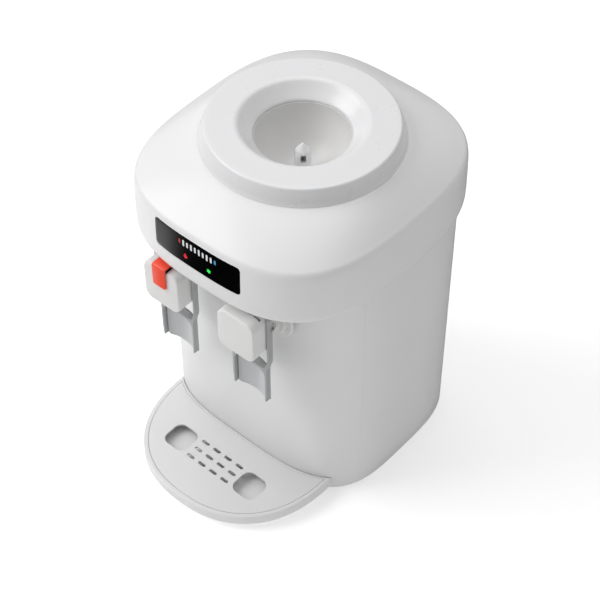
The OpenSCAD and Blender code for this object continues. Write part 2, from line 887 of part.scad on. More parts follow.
module mains_inlet() {
    flange_y = rear_face_y - seam;
    body_depth = 22;
    pin_l = 9;
    socket = [24.6, 16.6];
    socket_depth = 15;
    flange_lap = 1.4;
    pin = [2, 4];
    translate([inlet_place.x, 0, inlet_place.y]) {
        color(black) difference() {
            union() {
                from_front(flange_y - body_depth, body_depth)
                    square([inlet_w - 2 * seam, inlet_h - 2 * seam], center = true);
                from_front(flange_y, 2)
                    square([inlet_w + 2 * flange_lap, inlet_h + 2 * flange_lap], center = true);
            }
            from_front(flange_y - socket_depth, 30) square(socket, center = true);
        }
        color(steel) from_front(flange_y - socket_depth - 0.5, pin_l)
            for (p = [[-7, -2], [0, 2], [7, -2]]) translate(p) square(pin, center = true);
    }
}

rocker_tilt = 10;
rocker_half_w = 8;
rocker_pivot_y = rear_face_y - 3;
trunnion_r = 1.2;
trunnion_half_l = 9.4;

module switch_bezels() {
    outer_y = rear_face_y - seam;
    depth = 14;
    floor_t = 3;
    flange_lap = 1.5;
    flange_t = 1.6;
    opening = [2 * rocker_half_w + 0.8, 12.4];
    color(black) for (p = switch_places) translate([p.x, 0, p.y]) difference() {
        union() {
            from_front(outer_y - depth, depth)
                square([switch_w - 2 * seam, switch_h - 2 * seam], center = true);
            from_front(outer_y, flange_t)
                square([switch_w + 2 * flange_lap, switch_h + 2 * flange_lap], center = true);
        }
        from_front(outer_y - depth + floor_t, 30) square(opening, center = true);
        translate([-trunnion_half_l - seam, rocker_pivot_y, 0]) rotate([0, 90, 0])
            cylinder(r = trunnion_r + fit, h = 2 * (trunnion_half_l + seam));
    }
}

// A two-winged key on a pin along X, drawn with its lower wing pressed in
module rocker(place) {
    translate([place.x, rocker_pivot_y, place.y]) rotate([-rocker_tilt, 0, 0]) rotate([90, 0, 90]) {
        linear_extrude(2 * rocker_half_w, center = true)
            polygon([[-3, -3], [3.6, -5.2], [2.6, 0], [3.6, 5.2], [-3, 3]]);
        cylinder(r = trunnion_r, h = 2 * trunnion_half_l, center = true);
    }
}

module heating_rocker() { color("red") rocker(switch_places[0]); }
module cooling_rocker() { color("green") rocker(switch_places[1]); }

// ---------- taps, drawn round x = 0 and moved to their side ----------

module cover_face(shrink) {
    translate([0, cover_z])
        rounded_square([cover_w - 2 * shrink, cover_h - 2 * shrink], cover_corner_r - shrink / 2);
}

cover_wall = 2.5;
cover_top_z = cover_z + cover_h / 2;
catch_half_w = 8;
catch_depth = 9.1;
catch_notch_z = cover_top_z - cover_wall + 0.2;
catch_leg_y = cover_front_y + 6.9;
catch_leg_r = 1.8;

// The floor under the catch's notch
module catch_shelf() {
    shelf_t = 2;
    translate([-catch_half_w - 2, cover_front_y + cover_wall - 1, catch_notch_z - shelf_t])
        cube([2 * catch_half_w + 4, catch_depth + 1, shelf_t + 5]);
}

// A shell open at the back, with four slots across its top and a way out below for the spout
module tap_cover(has_catch) {
    edge = 1.6;
    spout_hole_r = 7;
    slot = [7.8, 3];
    slot_pitch = 9.6;
    slot_front_y = cover_front_y + 12.5;
    difference() {
        union() {
            from_front(cover_front_y + edge, cover_depth - edge) cover_face(0);
            from_front(cover_front_y, edge + 0.01) cover_face(edge * 0.7);
        }
        difference() {
            from_front(cover_front_y + cover_wall, cover_depth) cover_face(cover_wall);
            if (has_catch) catch_shelf();
        }
        translate([0, nozzle_y, cover_z - cover_h]) cylinder(r = spout_hole_r, h = cover_h);
        translate([-spout_r - gap, nozzle_y, cover_z - cover_h])
            cube([2 * (spout_r + gap), cover_depth, cover_h]);
        for (i = [-1.5 : 1.5])
            translate([i * slot_pitch - slot.x / 2, slot_front_y, cover_z]) cube([slot.x, slot.y, cover_h]);
        if (has_catch) {
            translate([-catch_half_w - gap, cover_front_y - 1, catch_notch_z])
                cube([2 * (catch_half_w + gap), catch_depth + 1.6, 20]);
            translate([0, catch_leg_y, cover_z]) cylinder(r = catch_leg_r + gap, h = cover_h);
        }
    }
}

seat_z = barrel_z - 5.5;
chamber_top_z = 264;
chamber_r = 8.2;
spout_r = 5.6;
nozzle_r = 6.2;
nozzle_top_z = barrel_z - 0.8;
pin_r = 1.6;

module tap_body() {
    spout_z = barrel_z - 8;
    block_w = 12;
    difference() {
        union() {
            rod_y(0, tail_y - 8, barrel_z, barrel_r - 1.5, 8);
            rod_y(0, stem_y, barrel_z, barrel_r, tail_y - 6 - stem_y);
            translate([0, stem_y, spout_z - spout_r])
                cylinder(r = chamber_r, h = chamber_top_z - spout_z + spout_r);
            rod_y(0, nozzle_y, spout_z + 1, spout_r, stem_y - nozzle_y);
            translate([0, nozzle_y, spout_z - 8]) cylinder(r = nozzle_r, h = nozzle_top_z - spout_z + 8);
            translate([-block_w / 2, pivot_y - 3, pivot_z - 8]) cube([block_w, 5.6, 11.6]);
            translate([-block_w / 2, pivot_y - 3, pivot_z - 8]) cube([block_w, stem_y - pivot_y - 2, 6]);
        }
        translate([0, stem_y, seat_z]) cylinder(r = 6, h = 60);
        translate([0, stem_y, spout_z - 1]) cylinder(r = 3.5, h = 20);
        rod_y(0, stem_y, barrel_z, 4.2, 60);
        rod_y(0, nozzle_y, spout_z, 3, stem_y - nozzle_y);
        translate([0, nozzle_y, spout_z - 20]) cylinder(r = 3.6, h = 22);
        translate([-20, pivot_y, pivot_z]) rotate([0, 90, 0]) cylinder(r = pin_r + 0.01, h = 40);
    }
}

module tap_cap() {
    translate([0, stem_y, chamber_top_z + seam]) linear_extrude(2.5) difference() {
        circle(chamber_r);
        circle(stem_r + fit);
    }
}

// A flange against the panel, and two smaller steps in front of it
module tap_nut() {
    back_y = panel_y - 1.2;
    difference() {
        for (step = [[nut_r, 3.4], [nut_r - 7, 6.4], [nut_r - 11.5, 8.4]])
            rod_y(0, back_y - step[1], barrel_z, step[0], step[1]);
        rod_y(0, panel_y - 20, barrel_z, barrel_r + seam, 40);
    }
}

bar_top_z = 276;
bar_bottom_z = 273.2;
knob_z = bar_top_z + 1.4;
stem_r = 2;

// A valve disc and its rubber below, and a knob above the lever
module tap_stem() {
    disc_z = seat_z + 1.5;
    translate([0, stem_y, 0]) {
        translate([0, 0, seat_z + 0.1]) cylinder(r = 4.4, h = 1.5);
        translate([0, 0, disc_z]) cylinder(r = 5.2, h = 2.5);
        translate([0, 0, disc_z + 2.4]) cylinder(r = stem_r, h = knob_z + 2 - disc_z - 2.4);
        translate([0, 0, knob_z]) cylinder(r = 4, h = 3);
    }
}

spring_bottom_z = seat_z + 4.3;

module tap_spring() {
    translate([0, stem_y, spring_bottom_z]) coil(3.8, 0.5, chamber_top_z - spring_bottom_z, 5);
}

module tap_pin() {
    translate([-arm_half_w - 0.6, pivot_y, pivot_z]) rotate([0, 90, 0])
        cylinder(r = pin_r, h = 2 * arm_half_w + 1.2);
}

arm_t = 2.6;
frame_front_y = -105.8;
frame_depth = 6;
neck_top_z = 220;
neck_bottom_z = 204;
paddle_half_w = loop_half_w - arm_t - 1;
paddle_top_z = 203;
paddle_corner_r = 8;
paddle_skin = 2;
web_t = 1.4;

// Middle of the circle that the paddle's hollow face follows
paddle_mid_y = frame_front_y + 3.6 - sqrt(pow(paddle_face_r, 2) - pow(paddle_half_w, 2));

// Front view of one side: an arm that draws in at the neck and runs down beside the paddle
module arm_face() {
    polygon([
        [arm_half_w, bar_top_z], [arm_half_w, neck_top_z],
        [loop_half_w, neck_bottom_z], [loop_half_w, lever_bottom_z],
        [loop_half_w - arm_t, lever_bottom_z], [loop_half_w - arm_t, neck_bottom_z],
        [arm_half_w - arm_t, neck_top_z], [arm_half_w - arm_t, bar_top_z]
    ]);
}

// Front view of the arch that joins the arms above the paddle
module arch_face() {
    inner = loop_half_w - arm_t;
    air = 1.2;
    arch_t = 2.4;
    inner_top_z = paddle_top_z + air;
    difference() {
        translate([-inner - 0.1, inner_top_z - 12]) square([2 * inner + 0.2, 12 + arch_t]);
        translate([0, inner_top_z - inner]) rounded_square([2 * inner, 2 * inner], paddle_corner_r + air);
    }
}

// A curved sheet that follows the paddle's hollow face, from r to r + t
module hollow_sheet(r, t) {
    linear_extrude(far) translate([0, paddle_mid_y]) difference() {
        circle(r + t, $fn = 96);
        circle(r, $fn = 96);
    }
}

module lever() {
    boss_r = 4.2;
    fork_half_w = 2.9;
    bar_h = bar_top_z - bar_bottom_z;
    bar_back_y = stem_y + 5;
    web_half_w = loop_half_w - 0.5;
    difference() {
        union() {
            from_front(frame_front_y, frame_depth) {
                arm_face();
                mirror([1, 0]) arm_face();
                arch_face();
            }
            intersection() {
                hollow_sheet(paddle_face_r + paddle_skin + gap, web_t);
                translate([-web_half_w, frame_front_y, lever_bottom_z])
                    cube([2 * web_half_w, 20, paddle_top_z - lever_bottom_z]);
            }
            translate([-arm_half_w, pivot_y + 0.6, bar_bottom_z])
                cube([2 * arm_half_w, bar_back_y - pivot_y - 0.6, bar_h]);
            for (x = [-arm_half_w, arm_half_w - arm_t]) {
                translate([x, frame_front_y, bar_bottom_z]) cube([arm_t, bar_back_y - frame_front_y, bar_h]);
                translate([x, pivot_y, pivot_z]) rotate([0, 90, 0]) cylinder(r = boss_r, h = arm_t);
            }
        }
        translate([-arm_half_w - 1, pivot_y, pivot_z]) rotate([0, 90, 0])
            cylinder(r = pin_r + fit, h = 2 * arm_half_w + 2);
        translate([0, stem_y, bar_bottom_z - 1]) cylinder(r = fork_half_w, h = bar_h + 2);
        translate([-fork_half_w, stem_y, bar_bottom_z - 1]) cube([2 * fork_half_w, 20, bar_h + 2]);
    }
}

module paddle() {
    bottom_z = lever_bottom_z - 1.5;
    bottom_r = 3;
    intersection() {
        hollow_sheet(paddle_face_r, paddle_skin);
        from_front(frame_front_y, 40) {
            translate([0, paddle_top_z - paddle_half_w])
                rounded_square([2 * paddle_half_w, 2 * paddle_half_w], paddle_corner_r);
            translate([0, bottom_z + paddle_half_w])
                rounded_square([2 * paddle_half_w, 2 * paddle_half_w], bottom_r);
        }
    }
}

catch_t = 2;
catch_top_z = cover_top_z + 4.8;
catch_h = 26;
catch_foot_z = 257;

module safety_catch() {
    front_y = cover_front_y - gap - catch_t;
    color(catch_red) translate([-tap_x, 0, 0]) {
        translate([-catch_half_w, front_y, catch_top_z - catch_h]) cube([2 * catch_half_w, catch_t, catch_h]);
        translate([-catch_half_w, front_y, catch_top_z - catch_t])
            cube([2 * catch_half_w, catch_t + catch_depth, catch_t]);
        translate([0, catch_leg_y, catch_foot_z])
            cylinder(r = catch_leg_r, h = catch_top_z - 1 - catch_foot_z);
    }
}

catch_spring_z = nozzle_top_z + gap;

module catch_spring() {
    color(steel) translate([-tap_x, catch_leg_y, catch_spring_z])
        coil(1.9, 0.35, catch_foot_z - catch_spring_z - 0.1, 6);
}

module hot_side() { translate([-tap_x, 0, 0]) children(); }
module cold_side() { translate([tap_x, 0, 0]) children(); }

module hot_tap_cover() { color(white) hot_side() tap_cover(true); }
module hot_tap_body() { color(white) hot_side() tap_body(); }
module hot_tap_cap() { color(white) hot_side() tap_cap(); }
module hot_tap_nut() { color(white) hot_side() tap_nut(); }
module hot_tap_stem() { color(light_grey) hot_side() tap_stem(); }
module hot_tap_spring() { color(steel) hot_side() tap_spring(); }
module hot_tap_pin() { color(steel) hot_side() tap_pin(); }
module hot_lever() { color(grey) hot_side() lever(); }
module hot_paddle() { color(light_grey) hot_side() paddle(); }

module cold_tap_cover() { color(white) cold_side() tap_cover(false); }
module cold_tap_body() { color(white) cold_side() tap_body(); }
module cold_tap_cap() { color(white) cold_side() tap_cap(); }
module cold_tap_nut() { color(white) cold_side() tap_nut(); }
module cold_tap_stem() { color(light_grey) cold_side() tap_stem(); }
module cold_tap_spring() { color(steel) cold_side() tap_spring(); }
module cold_tap_pin() { color(steel) cold_side() tap_pin(); }
module cold_lever() { color(grey) cold_side() lever(); }
module cold_paddle() { color(light_grey) cold_side() paddle(); }

// ---------- drip tray ----------

// The tray's outline drawn in by one amount round the front and another along the body
module tray_outline(shrink, back_shrink) {
    b = tray_mid_y - tray_front_y - shrink;
    end_y = -35;
    difference() {
        polygon(outline(tray_half_w - shrink, b, b, tray_power, tray_mid_y));
        polygon(body_outline(gap + back_shrink));
        translate([-far / 2, end_y]) square(far);
    }
}

tray_bottom_z = 7.5;
tray_skin = 2;
grille_t = 2.2;

module drip_tray() {
    ledge = 2;
    back_ledge = 1;
    hook_front_y = -75;
    hook_l = 14;
    color(white) {
        difference() {
            translate([0, 0, tray_bottom_z]) linear_extrude(tray_top_z - tray_bottom_z) tray_outline(0, 0);
            translate([0, 0, tray_bottom_z + tray_skin])
                linear_extrude(far) tray_outline(tray_rim + ledge, tray_back_rim + back_ledge);
            translate([0, 0, tray_top_z - grille_t - gap])
                linear_extrude(far) tray_outline(tray_rim, tray_back_rim);
        }
        for (side = [-1, 1])
            translate([side * hook_x - hook_half_w, hook_front_y, hook_z])
                cube([2 * hook_half_w, hook_l, hook_h]);
    }
}

slot_l = 9.4;
slot_w = 3.6;
slot_pitch_x = 15.35;
slot_pitch_y = 11.3;

module drip_grille() {
    well_corner_r = 9;
    color(white) difference() {
        translate([0, 0, tray_top_z - grille_t])
            linear_extrude(grille_t) tray_outline(tray_rim + gap, tray_back_rim + gap);
        for (column = [-1.5 : 1.5], row = [-1 : 1])
            translate([column * slot_pitch_x, grille_mid_y + row * slot_pitch_y, 0])
                linear_extrude(far) rounded_square([slot_l, slot_w], slot_w / 2 - 0.1);
        for (side = [-1, 1])
            translate([side * well_x, grille_mid_y, 0])
                linear_extrude(far) rounded_square([well_size, well_size], well_corner_r);
    }
}

base_pan();
foot_pads();
front_panel();
side_panels();
rear_panel();
rear_screws();
top_housing();
display_lens();
indicator_board();
heating_led();
cooling_led();
seat_ring();
receiver_bowl();
water_spike();
spike_seal();
cold_tank();
tank_baffle();
tank_foam();
cold_plate();
cooling_chip();
heat_sink();
fan_frame();
fan_rotor();
hot_tank();
band_heater();
thermostats();
hot_tank_bracket();
feed_hose();
hot_hose();
cold_hose();
drain_pipe();
drain_cap();
power_board();
transformer();
mains_inlet();
switch_bezels();
heating_rocker();
cooling_rocker();
hot_tap_cover();
hot_tap_body();
hot_tap_cap();
hot_tap_nut();
hot_tap_stem();
hot_tap_spring();
hot_tap_pin();
hot_lever();
hot_paddle();
safety_catch();
catch_spring();
cold_tap_cover();
cold_tap_body();
cold_tap_cap();
cold_tap_nut();
cold_tap_stem();
cold_tap_spring();
cold_tap_pin();
cold_lever();
cold_paddle();
drip_tray();
drip_grille();
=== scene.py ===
"""Looks of the countertop water dispenser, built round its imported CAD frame.

Shapes are drawn in millimetres in the CAD frame (+Z up, front facing -Y) and stored in metres.
"""
import math

import bpy
from mathutils import Matrix, Vector


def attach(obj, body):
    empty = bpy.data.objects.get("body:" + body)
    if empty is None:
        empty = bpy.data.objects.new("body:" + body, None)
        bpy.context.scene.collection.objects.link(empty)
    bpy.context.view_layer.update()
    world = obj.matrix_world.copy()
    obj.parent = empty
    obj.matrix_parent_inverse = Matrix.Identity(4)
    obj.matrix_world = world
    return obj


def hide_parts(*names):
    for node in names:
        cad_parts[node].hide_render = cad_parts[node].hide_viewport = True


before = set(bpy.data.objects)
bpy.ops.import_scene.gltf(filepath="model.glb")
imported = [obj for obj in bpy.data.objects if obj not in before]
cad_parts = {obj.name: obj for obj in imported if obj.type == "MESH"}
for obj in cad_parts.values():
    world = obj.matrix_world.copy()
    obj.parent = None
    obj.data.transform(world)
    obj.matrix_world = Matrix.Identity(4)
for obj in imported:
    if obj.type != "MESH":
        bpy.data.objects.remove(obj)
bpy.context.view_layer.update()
MM = 0.001
BODY = "dispenser"

# ---------- driving sizes, the same as the CAD part's, in millimetres ----------

GAP = 0.3
COLLAR_GAP = 0.9
BOTTLE_Y = 23
SEAT_TOP_Z = 385
SEAT_FOOT_Z = 368.3
SEAT_R, SEAT_FOOT_R = 90, 95.1
LIP_R, LIP_ROLL = 63, 8
FUNNEL_R = 45.5
BOWL_RIM_Z, BOWL_FLOOR_Z, BOWL_FLOOR_R, BOWL_HOLE_R, BOWL_FLANGE = 368.8, 323, 14, 8.2, 9
RECEIVER_SKIN, BOWL_SKIN = 2.4, 2.2
BODY_HALF_W, BODY_HALF_D, BODY_REAR_D, BODY_POWER = 124.5, 105, 113.5, 3.5
BODY_MID_Y, BODY_BACK_Y = 35, 135
BODY_BOTTOM_Z, BODY_TOP_Z = 3.4, 296
WALL = 2.5
SEAM_Y, HALF_SEAM = -27, 0.05
REAR_WINDOW_W, REAR_WINDOW_H, REAR_WINDOW_Z = 124, 250, 147
SCREW_X, SCREW_LEVELS, SCREW_HOLE_R = 66, (30, 150, 264), 1.5
HOOK_X, HOOK_HOLE_W, HOOK_HOLE_H, HOOK_HOLE_Z = 55, 20, 6, 11
HOUSING_HALF_W, HOUSING_HALF_D, HOUSING_POWER = 131.5, 144.5, 3
HOUSING_MID_Y = 22.5
HOUSING_BOTTOM_Z, HOUSING_EDGE_Z = 285, 345.5
HOUSING_HOLE_R, HOUSING_WALL = 88, 3
DOME_TOP_Z, DOME_CROWN = SEAT_FOOT_Z - GAP, 0.25
DISPLAY_HALF_W, DISPLAY_BOTTOM_Z, DISPLAY_H, DISPLAY_CORNER = 50.7, 306, 32.5, 4
DISPLAY_Z = DISPLAY_BOTTOM_Z + DISPLAY_H / 2
LENS_PROUD, LENS_DEPTH = 0.12, 2.8
HEATING_LAMP_X, COOLING_LAMP_X, LAMP_Z = -12, 16, 315.2
TAP_X = 46
COVER_W, COVER_H, COVER_DEPTH, COVER_CORNER = 43.4, 47.6, 20, 9
COVER_FRONT_Y, COVER_Z = -123, 252.8
COVER_TOP_Z, COVER_BACK_Y, COVER_SKIN = COVER_Z + COVER_H / 2, COVER_FRONT_Y + COVER_DEPTH, 2.5
VENT_L, VENT_W, VENT_PITCH, VENT_Y = 7.8, 3, 9.6, COVER_FRONT_Y + 14
CATCH_HALF_W, CATCH_T, CATCH_L, CATCH_H = 8, 2, 11.1, 26
CATCH_LEG_Y, CATCH_LEG_R, CATCH_LEG_Z = -116.1, 1.8, 257
BARREL_Z, BARREL_R = 239, 9
NUT_R, NUT_BACK_Y = 24, -70.2
PIVOT_Y, PIVOT_Z, STEM_Y = -99.9, 262, -88.5
ARM_HALF_W, LOOP_HALF_W, ARM_T, LEVER_BOTTOM_Z = 24.6, 21.2, 2.6, 160
FRAME_FRONT_Y, FRAME_DEPTH = -105.8, 6
NECK_LOW_Z, NECK_HIGH_Z, BAR_LOW_Z, BAR_HIGH_Z = 204, 220, 273.2, 276
PADDLE_HALF_W, PADDLE_FACE_R, PADDLE_T = 17.6, 42, 2
PADDLE_LOW_Z, PADDLE_HIGH_Z, PADDLE_CORNER = 158.5, 203, 8
TRAY_HALF_W, TRAY_FRONT_Y, TRAY_MID_Y, TRAY_POWER = 103, -167, -55, 2.3
TRAY_TOP_Z, TRAY_SKIRT_Z, TRAY_FLOOR_Z, TRAY_RIM, TRAY_BACK_RIM = 19.4, 7.5, 9.5, 4.6, 2
WELL_X, GRILLE_MID_Y, WELL_SIZE, WELL_CORNER = 47, -112.3, 29, 9
SLOT_L, SLOT_W, SLOT_PITCH_X, SLOT_PITCH_Y = 9.4, 3.6, 15.35, 11.3
GRILLE_T = 2.2
ROUND_STEPS = 288


# ---------- light: watts of the two soft lamps, and strengths of the light all round ----------

KEY_POWER, TOP_POWER = 33, 19
WORLD_STRENGTH, PATCH_STRENGTH, FLOOR_GLOW = 0.37, 0.95, 0.32


# ---------- materials ----------

def shader(name, color, roughness, **extra):
    """A material with one Principled shader, and its nodes and links."""
    material = bpy.data.materials.new(name)
    material.use_nodes = True
    nodes, links = material.node_tree.nodes, material.node_tree.links
    bsdf = nodes["Principled BSDF"]
    bsdf.inputs["Base Color"].default_value = (*color, 1)
    bsdf.inputs["Roughness"].default_value = roughness
    for socket, value in extra.items():
        bsdf.inputs[socket.replace("_", " ")].default_value = value
    return material, nodes, links, bsdf


def noise(nodes, links, scale, detail=3, stretch=(1, 1, 1)):
    """Noise fixed to the object, with scale in cycles a metre."""
    coords = nodes.new("ShaderNodeTexCoord")
    mapping = nodes.new("ShaderNodeMapping")
    mapping.inputs["Scale"].default_value = stretch
    texture = nodes.new("ShaderNodeTexNoise")
    texture.inputs["Scale"].default_value = scale
    texture.inputs["Detail"].default_value = detail
    links.new(coords.outputs["Object"], mapping.inputs["Vector"])
    links.new(mapping.outputs["Vector"], texture.inputs["Vector"])
    return texture


def ramp(nodes, links, source, low, high):
    """Maps a noise to values between low and high."""
    spread = nodes.new("ShaderNodeMapRange")
    spread.inputs["From Min"].default_value = 0.3
    spread.inputs["From Max"].default_value = 0.7
    spread.inputs["To Min"].default_value = low
    spread.inputs["To Max"].default_value = high
    links.new(source.outputs["Fac"], spread.inputs["Value"])
    return spread


def vary_color(nodes, links, bsdf, color, amount, scale, stretch=(1, 1, 1)):
    """Lets the base colour drift a little lighter and darker."""
    mix = nodes.new("ShaderNodeMix")
    mix.data_type = "RGBA"
    mix.inputs["A"].default_value = (*[c * (1 - amount) for c in color], 1)
    mix.inputs["B"].default_value = (*[min(1, c * (1 + amount)) for c in color], 1)
    links.new(noise(nodes, links, scale, stretch=stretch).outputs["Fac"], mix.inputs["Factor"])
    links.new(mix.outputs["Result"], bsdf.inputs["Base Color"])


def bump(nodes, links, bsdf, source, strength, depth):
    """Surface relief, with its depth in metres."""
    node = nodes.new("ShaderNodeBump")
    node.inputs["Strength"].default_value = strength
    node.inputs["Distance"].default_value = depth
    links.new(source.outputs["Fac"], node.inputs["Height"])
    links.new(node.outputs["Normal"], bsdf.inputs["Normal"])


def plastic(name, color, roughness, grain=0.00002, grain_scale=1400, tint=0.012, **extra):
    """Moulded plastic: slight tone drift, uneven gloss and a fine moulded grain."""
    material, nodes, links, bsdf = shader(name, color, roughness, **extra)
    vary_color(nodes, links, bsdf, color, tint, 9)
    gloss = ramp(nodes, links, noise(nodes, links, 60), roughness * 0.88, roughness * 1.14)
    links.new(gloss.outputs["Result"], bsdf.inputs["Roughness"])
    bump(nodes, links, bsdf, noise(nodes, links, grain_scale), 0.2, grain)
    return material


def metal(name, color, roughness, stretch=(1, 1, 40)):
    """Drawn or brushed metal with fine lines across its stretch."""
    material, nodes, links, bsdf = shader(name, color, roughness, Metallic=1.0)
    lines = noise(nodes, links, 90, 5, stretch)
    links.new(ramp(nodes, links, lines, roughness * 0.7, roughness * 1.4).outputs["Result"],
              bsdf.inputs["Roughness"])
    vary_color(nodes, links, bsdf, color, 0.05, 40, stretch)
    bump(nodes, links, bsdf, lines, 0.2, 0.00003)
    return material


def lamp_plastic(name, color, strength):
    """Plastic that is lit from behind."""
    material, nodes, links, bsdf = shader(name, color, 0.25)
    vary_color(nodes, links, bsdf, color, 0.05, 300)
    bsdf.inputs["Emission Color"].default_value = (*color, 1)
    bsdf.inputs["Emission Strength"].default_value = strength
    return material


WHITE = plastic("white_shell", (0.80, 0.80, 0.80), 0.36, Coat_Weight=0.12, Coat_Roughness=0.25)
RING_WHITE = plastic("white_ring", (0.78, 0.78, 0.79), 0.3, grain=0.000004,
                     Coat_Weight=0.15, Coat_Roughness=0.15)
BOWL_WHITE = plastic("white_bowl", (0.72, 0.715, 0.71), 0.34)
TRAY_WHITE = plastic("white_tray", (0.82, 0.82, 0.82), 0.38)
COVER_WHITE = plastic("white_cover", (0.78, 0.775, 0.77), 0.33)
LEVER_GREY = plastic("lever_grey", (0.42, 0.43, 0.43), 0.38, tint=0.03)
PADDLE_GREY = plastic("paddle_grey", (0.55, 0.56, 0.57), 0.34, tint=0.03,
                      Coat_Weight=0.15, Coat_Roughness=0.2)
CATCH_RED = plastic("catch_red", (0.95, 0.075, 0.028), 0.33, Coat_Weight=0.2, Coat_Roughness=0.2)
DISPLAY_BLACK = plastic("display_black", (0.0018, 0.0018, 0.002), 0.09, grain=0.000001, IOR=1.4)
BLACK = plastic("black_plastic", (0.025, 0.025, 0.027), 0.45, tint=0.06)
RUBBER = plastic("black_rubber", (0.03, 0.03, 0.03), 0.75, grain=0.00005, tint=0.08)
SILICONE = plastic("silicone", (0.72, 0.74, 0.74), 0.42, Transmission_Weight=0.15)
STEEL = metal("steel", (0.62, 0.62, 0.63), 0.28)
ALUMINIUM = metal("aluminium", (0.78, 0.79, 0.80), 0.35)
BRASS = metal("heater_brass", (0.72, 0.56, 0.28), 0.4, (1, 1, 6))
CERAMIC = plastic("ceramic", (0.88, 0.87, 0.84), 0.6, tint=0.02)
FOAM = plastic("foam", (0.82, 0.78, 0.66), 0.85, grain=0.0004, grain_scale=500, tint=0.06)
BOARD = plastic("board_green", (0.03, 0.2, 0.07), 0.42, tint=0.15)
YELLOW = plastic("transformer_yellow", (0.75, 0.52, 0.08), 0.5, tint=0.1)
ROCKER_RED = plastic("rocker_red", (0.65, 0.02, 0.015), 0.25, tint=0.04)
ROCKER_GREEN = plastic("rocker_green", (0.02, 0.38, 0.08), 0.25, tint=0.04)
LIT_RED = lamp_plastic("lit_red", (0.55, 0.01, 0.02), 0.35)
LIT_GREEN = lamp_plastic("lit_green", (0.02, 0.75, 0.08), 0.7)
MARK_WHITE = plastic("mark_white", (0.75, 0.76, 0.78), 0.4)
MARK_RED = plastic("mark_red", (0.6, 0.03, 0.05), 0.4)
MARK_BLUE = plastic("mark_blue", (0.05, 0.35, 0.6), 0.4)

NODE_MATERIALS = {
    "base_pan": WHITE, "rear_panel": WHITE, "rear_screws": STEEL, "foot_pads": RUBBER,
    "indicator_board": BOARD, "heating_led": LIT_RED, "cooling_led": LIT_GREEN,
    "water_spike": RING_WHITE, "spike_seal": RUBBER, "cold_tank": STEEL, "tank_baffle": PADDLE_GREY,
    "tank_foam": FOAM, "cold_plate": ALUMINIUM, "cooling_chip": CERAMIC, "heat_sink": ALUMINIUM,
    "fan_frame": BLACK, "fan_rotor": BLACK, "hot_tank": STEEL, "band_heater": BRASS,
    "thermostats": BLACK, "hot_tank_bracket": STEEL, "feed_hose": SILICONE, "hot_hose": SILICONE,
    "cold_hose": SILICONE, "drain_pipe": PADDLE_GREY, "drain_cap": PADDLE_GREY,
    "power_board": BOARD, "transformer": YELLOW, "mains_inlet": BLACK, "switch_bezels": BLACK,
    "heating_rocker": ROCKER_RED, "cooling_rocker": ROCKER_GREEN, "catch_spring": STEEL,
}
for side in ("hot", "cold"):
    NODE_MATERIALS.update({
        f"{side}_tap_body": COVER_WHITE, f"{side}_tap_cap": COVER_WHITE,
        f"{side}_tap_stem": PADDLE_GREY, f"{side}_tap_spring": STEEL, f"{side}_tap_pin": STEEL,
    })


# ---------- mesh helpers ----------

def finish_mesh(obj, material, angle=32):
    """Smooth shading with sharp edges past an angle, and one material."""
    mesh = obj.data
    mesh.polygons.foreach_set("use_smooth", [True] * len(mesh.polygons))
    mesh.set_sharp_from_angle(angle=math.radians(angle))
    mesh.materials.clear()
    mesh.materials.append(material)
    return obj


def mesh_object(name, points, faces):
    """An object from points in millimetres, with its faces turned outwards."""
    mesh = bpy.data.meshes.new(name)
    mesh.from_pydata([[c * MM for c in p] for p in points], [], faces)
    mesh.validate()
    obj = bpy.data.objects.new(name, mesh)
    bpy.context.scene.collection.objects.link(obj)
    bpy.context.view_layer.objects.active = obj
    for other in bpy.context.selected_objects:
        other.select_set(False)
    obj.select_set(True)
    bpy.ops.object.mode_set(mode="EDIT")
    bpy.ops.mesh.select_all(action="SELECT")
    bpy.ops.mesh.normals_make_consistent(inside=False)
    bpy.ops.object.mode_set(mode="OBJECT")
    return obj


def loft(name, rings, closed=False):
    """A skin over rings of equal size. It is capped at both ends, or closed from last to first."""
    count, steps = len(rings), len(rings[0])
    pairs = [(j, (j + 1) % count) for j in range(count if closed else count - 1)]
    faces = [
        (j * steps + i, j * steps + (i + 1) % steps, k * steps + (i + 1) % steps, k * steps + i)
        for j, k in pairs for i in range(steps)
    ]
    if not closed:
        faces.append(tuple(range(steps)))
        faces.append(tuple(range((count - 1) * steps, count * steps)))
    return mesh_object(name, [p for ring in rings for p in ring], faces)


def apply_modifiers(obj):
    """Replaces the object's mesh with what its modifiers make of it."""
    shown = obj.evaluated_get(bpy.context.evaluated_depsgraph_get())
    mesh = bpy.data.meshes.new_from_object(shown)
    obj.modifiers.clear()
    old = obj.data
    obj.data = mesh
    bpy.data.meshes.remove(old)
    return obj


def boolean(obj, tool, operation="DIFFERENCE"):
    """Cuts the tool out of the object, or keeps what they share, and removes the tool."""
    modifier = obj.modifiers.new("boolean", "BOOLEAN")
    modifier.operation = operation
    modifier.solver = "EXACT"
    modifier.object = tool
    apply_modifiers(obj)
    bpy.data.objects.remove(tool)


def bevel(obj, width, segments, angle):
    """Rounds the edges that turn by more than an angle in degrees."""
    modifier = obj.modifiers.new("bevel", "BEVEL")
    modifier.width = width * MM
    modifier.segments = segments
    modifier.limit_method = "ANGLE"
    modifier.angle_limit = math.radians(angle)
    modifier.harden_normals = False
    return apply_modifiers(obj)


def join(name, pieces):
    """Joins pieces into one object."""
    for other in bpy.context.selected_objects:
        other.select_set(False)
    for piece in pieces:
        piece.select_set(True)
    bpy.context.view_layer.objects.active = pieces[0]
    bpy.ops.object.join()
    pieces[0].name = name
    return pieces[0]


def to_plan(x, y, z):
    """Drawn from above: x and y in plan, z up."""
    return (x, y, z)


def to_front(x, y, z):
    """Drawn from the front: x, then height, then depth towards the back."""
    return (x, z, y)


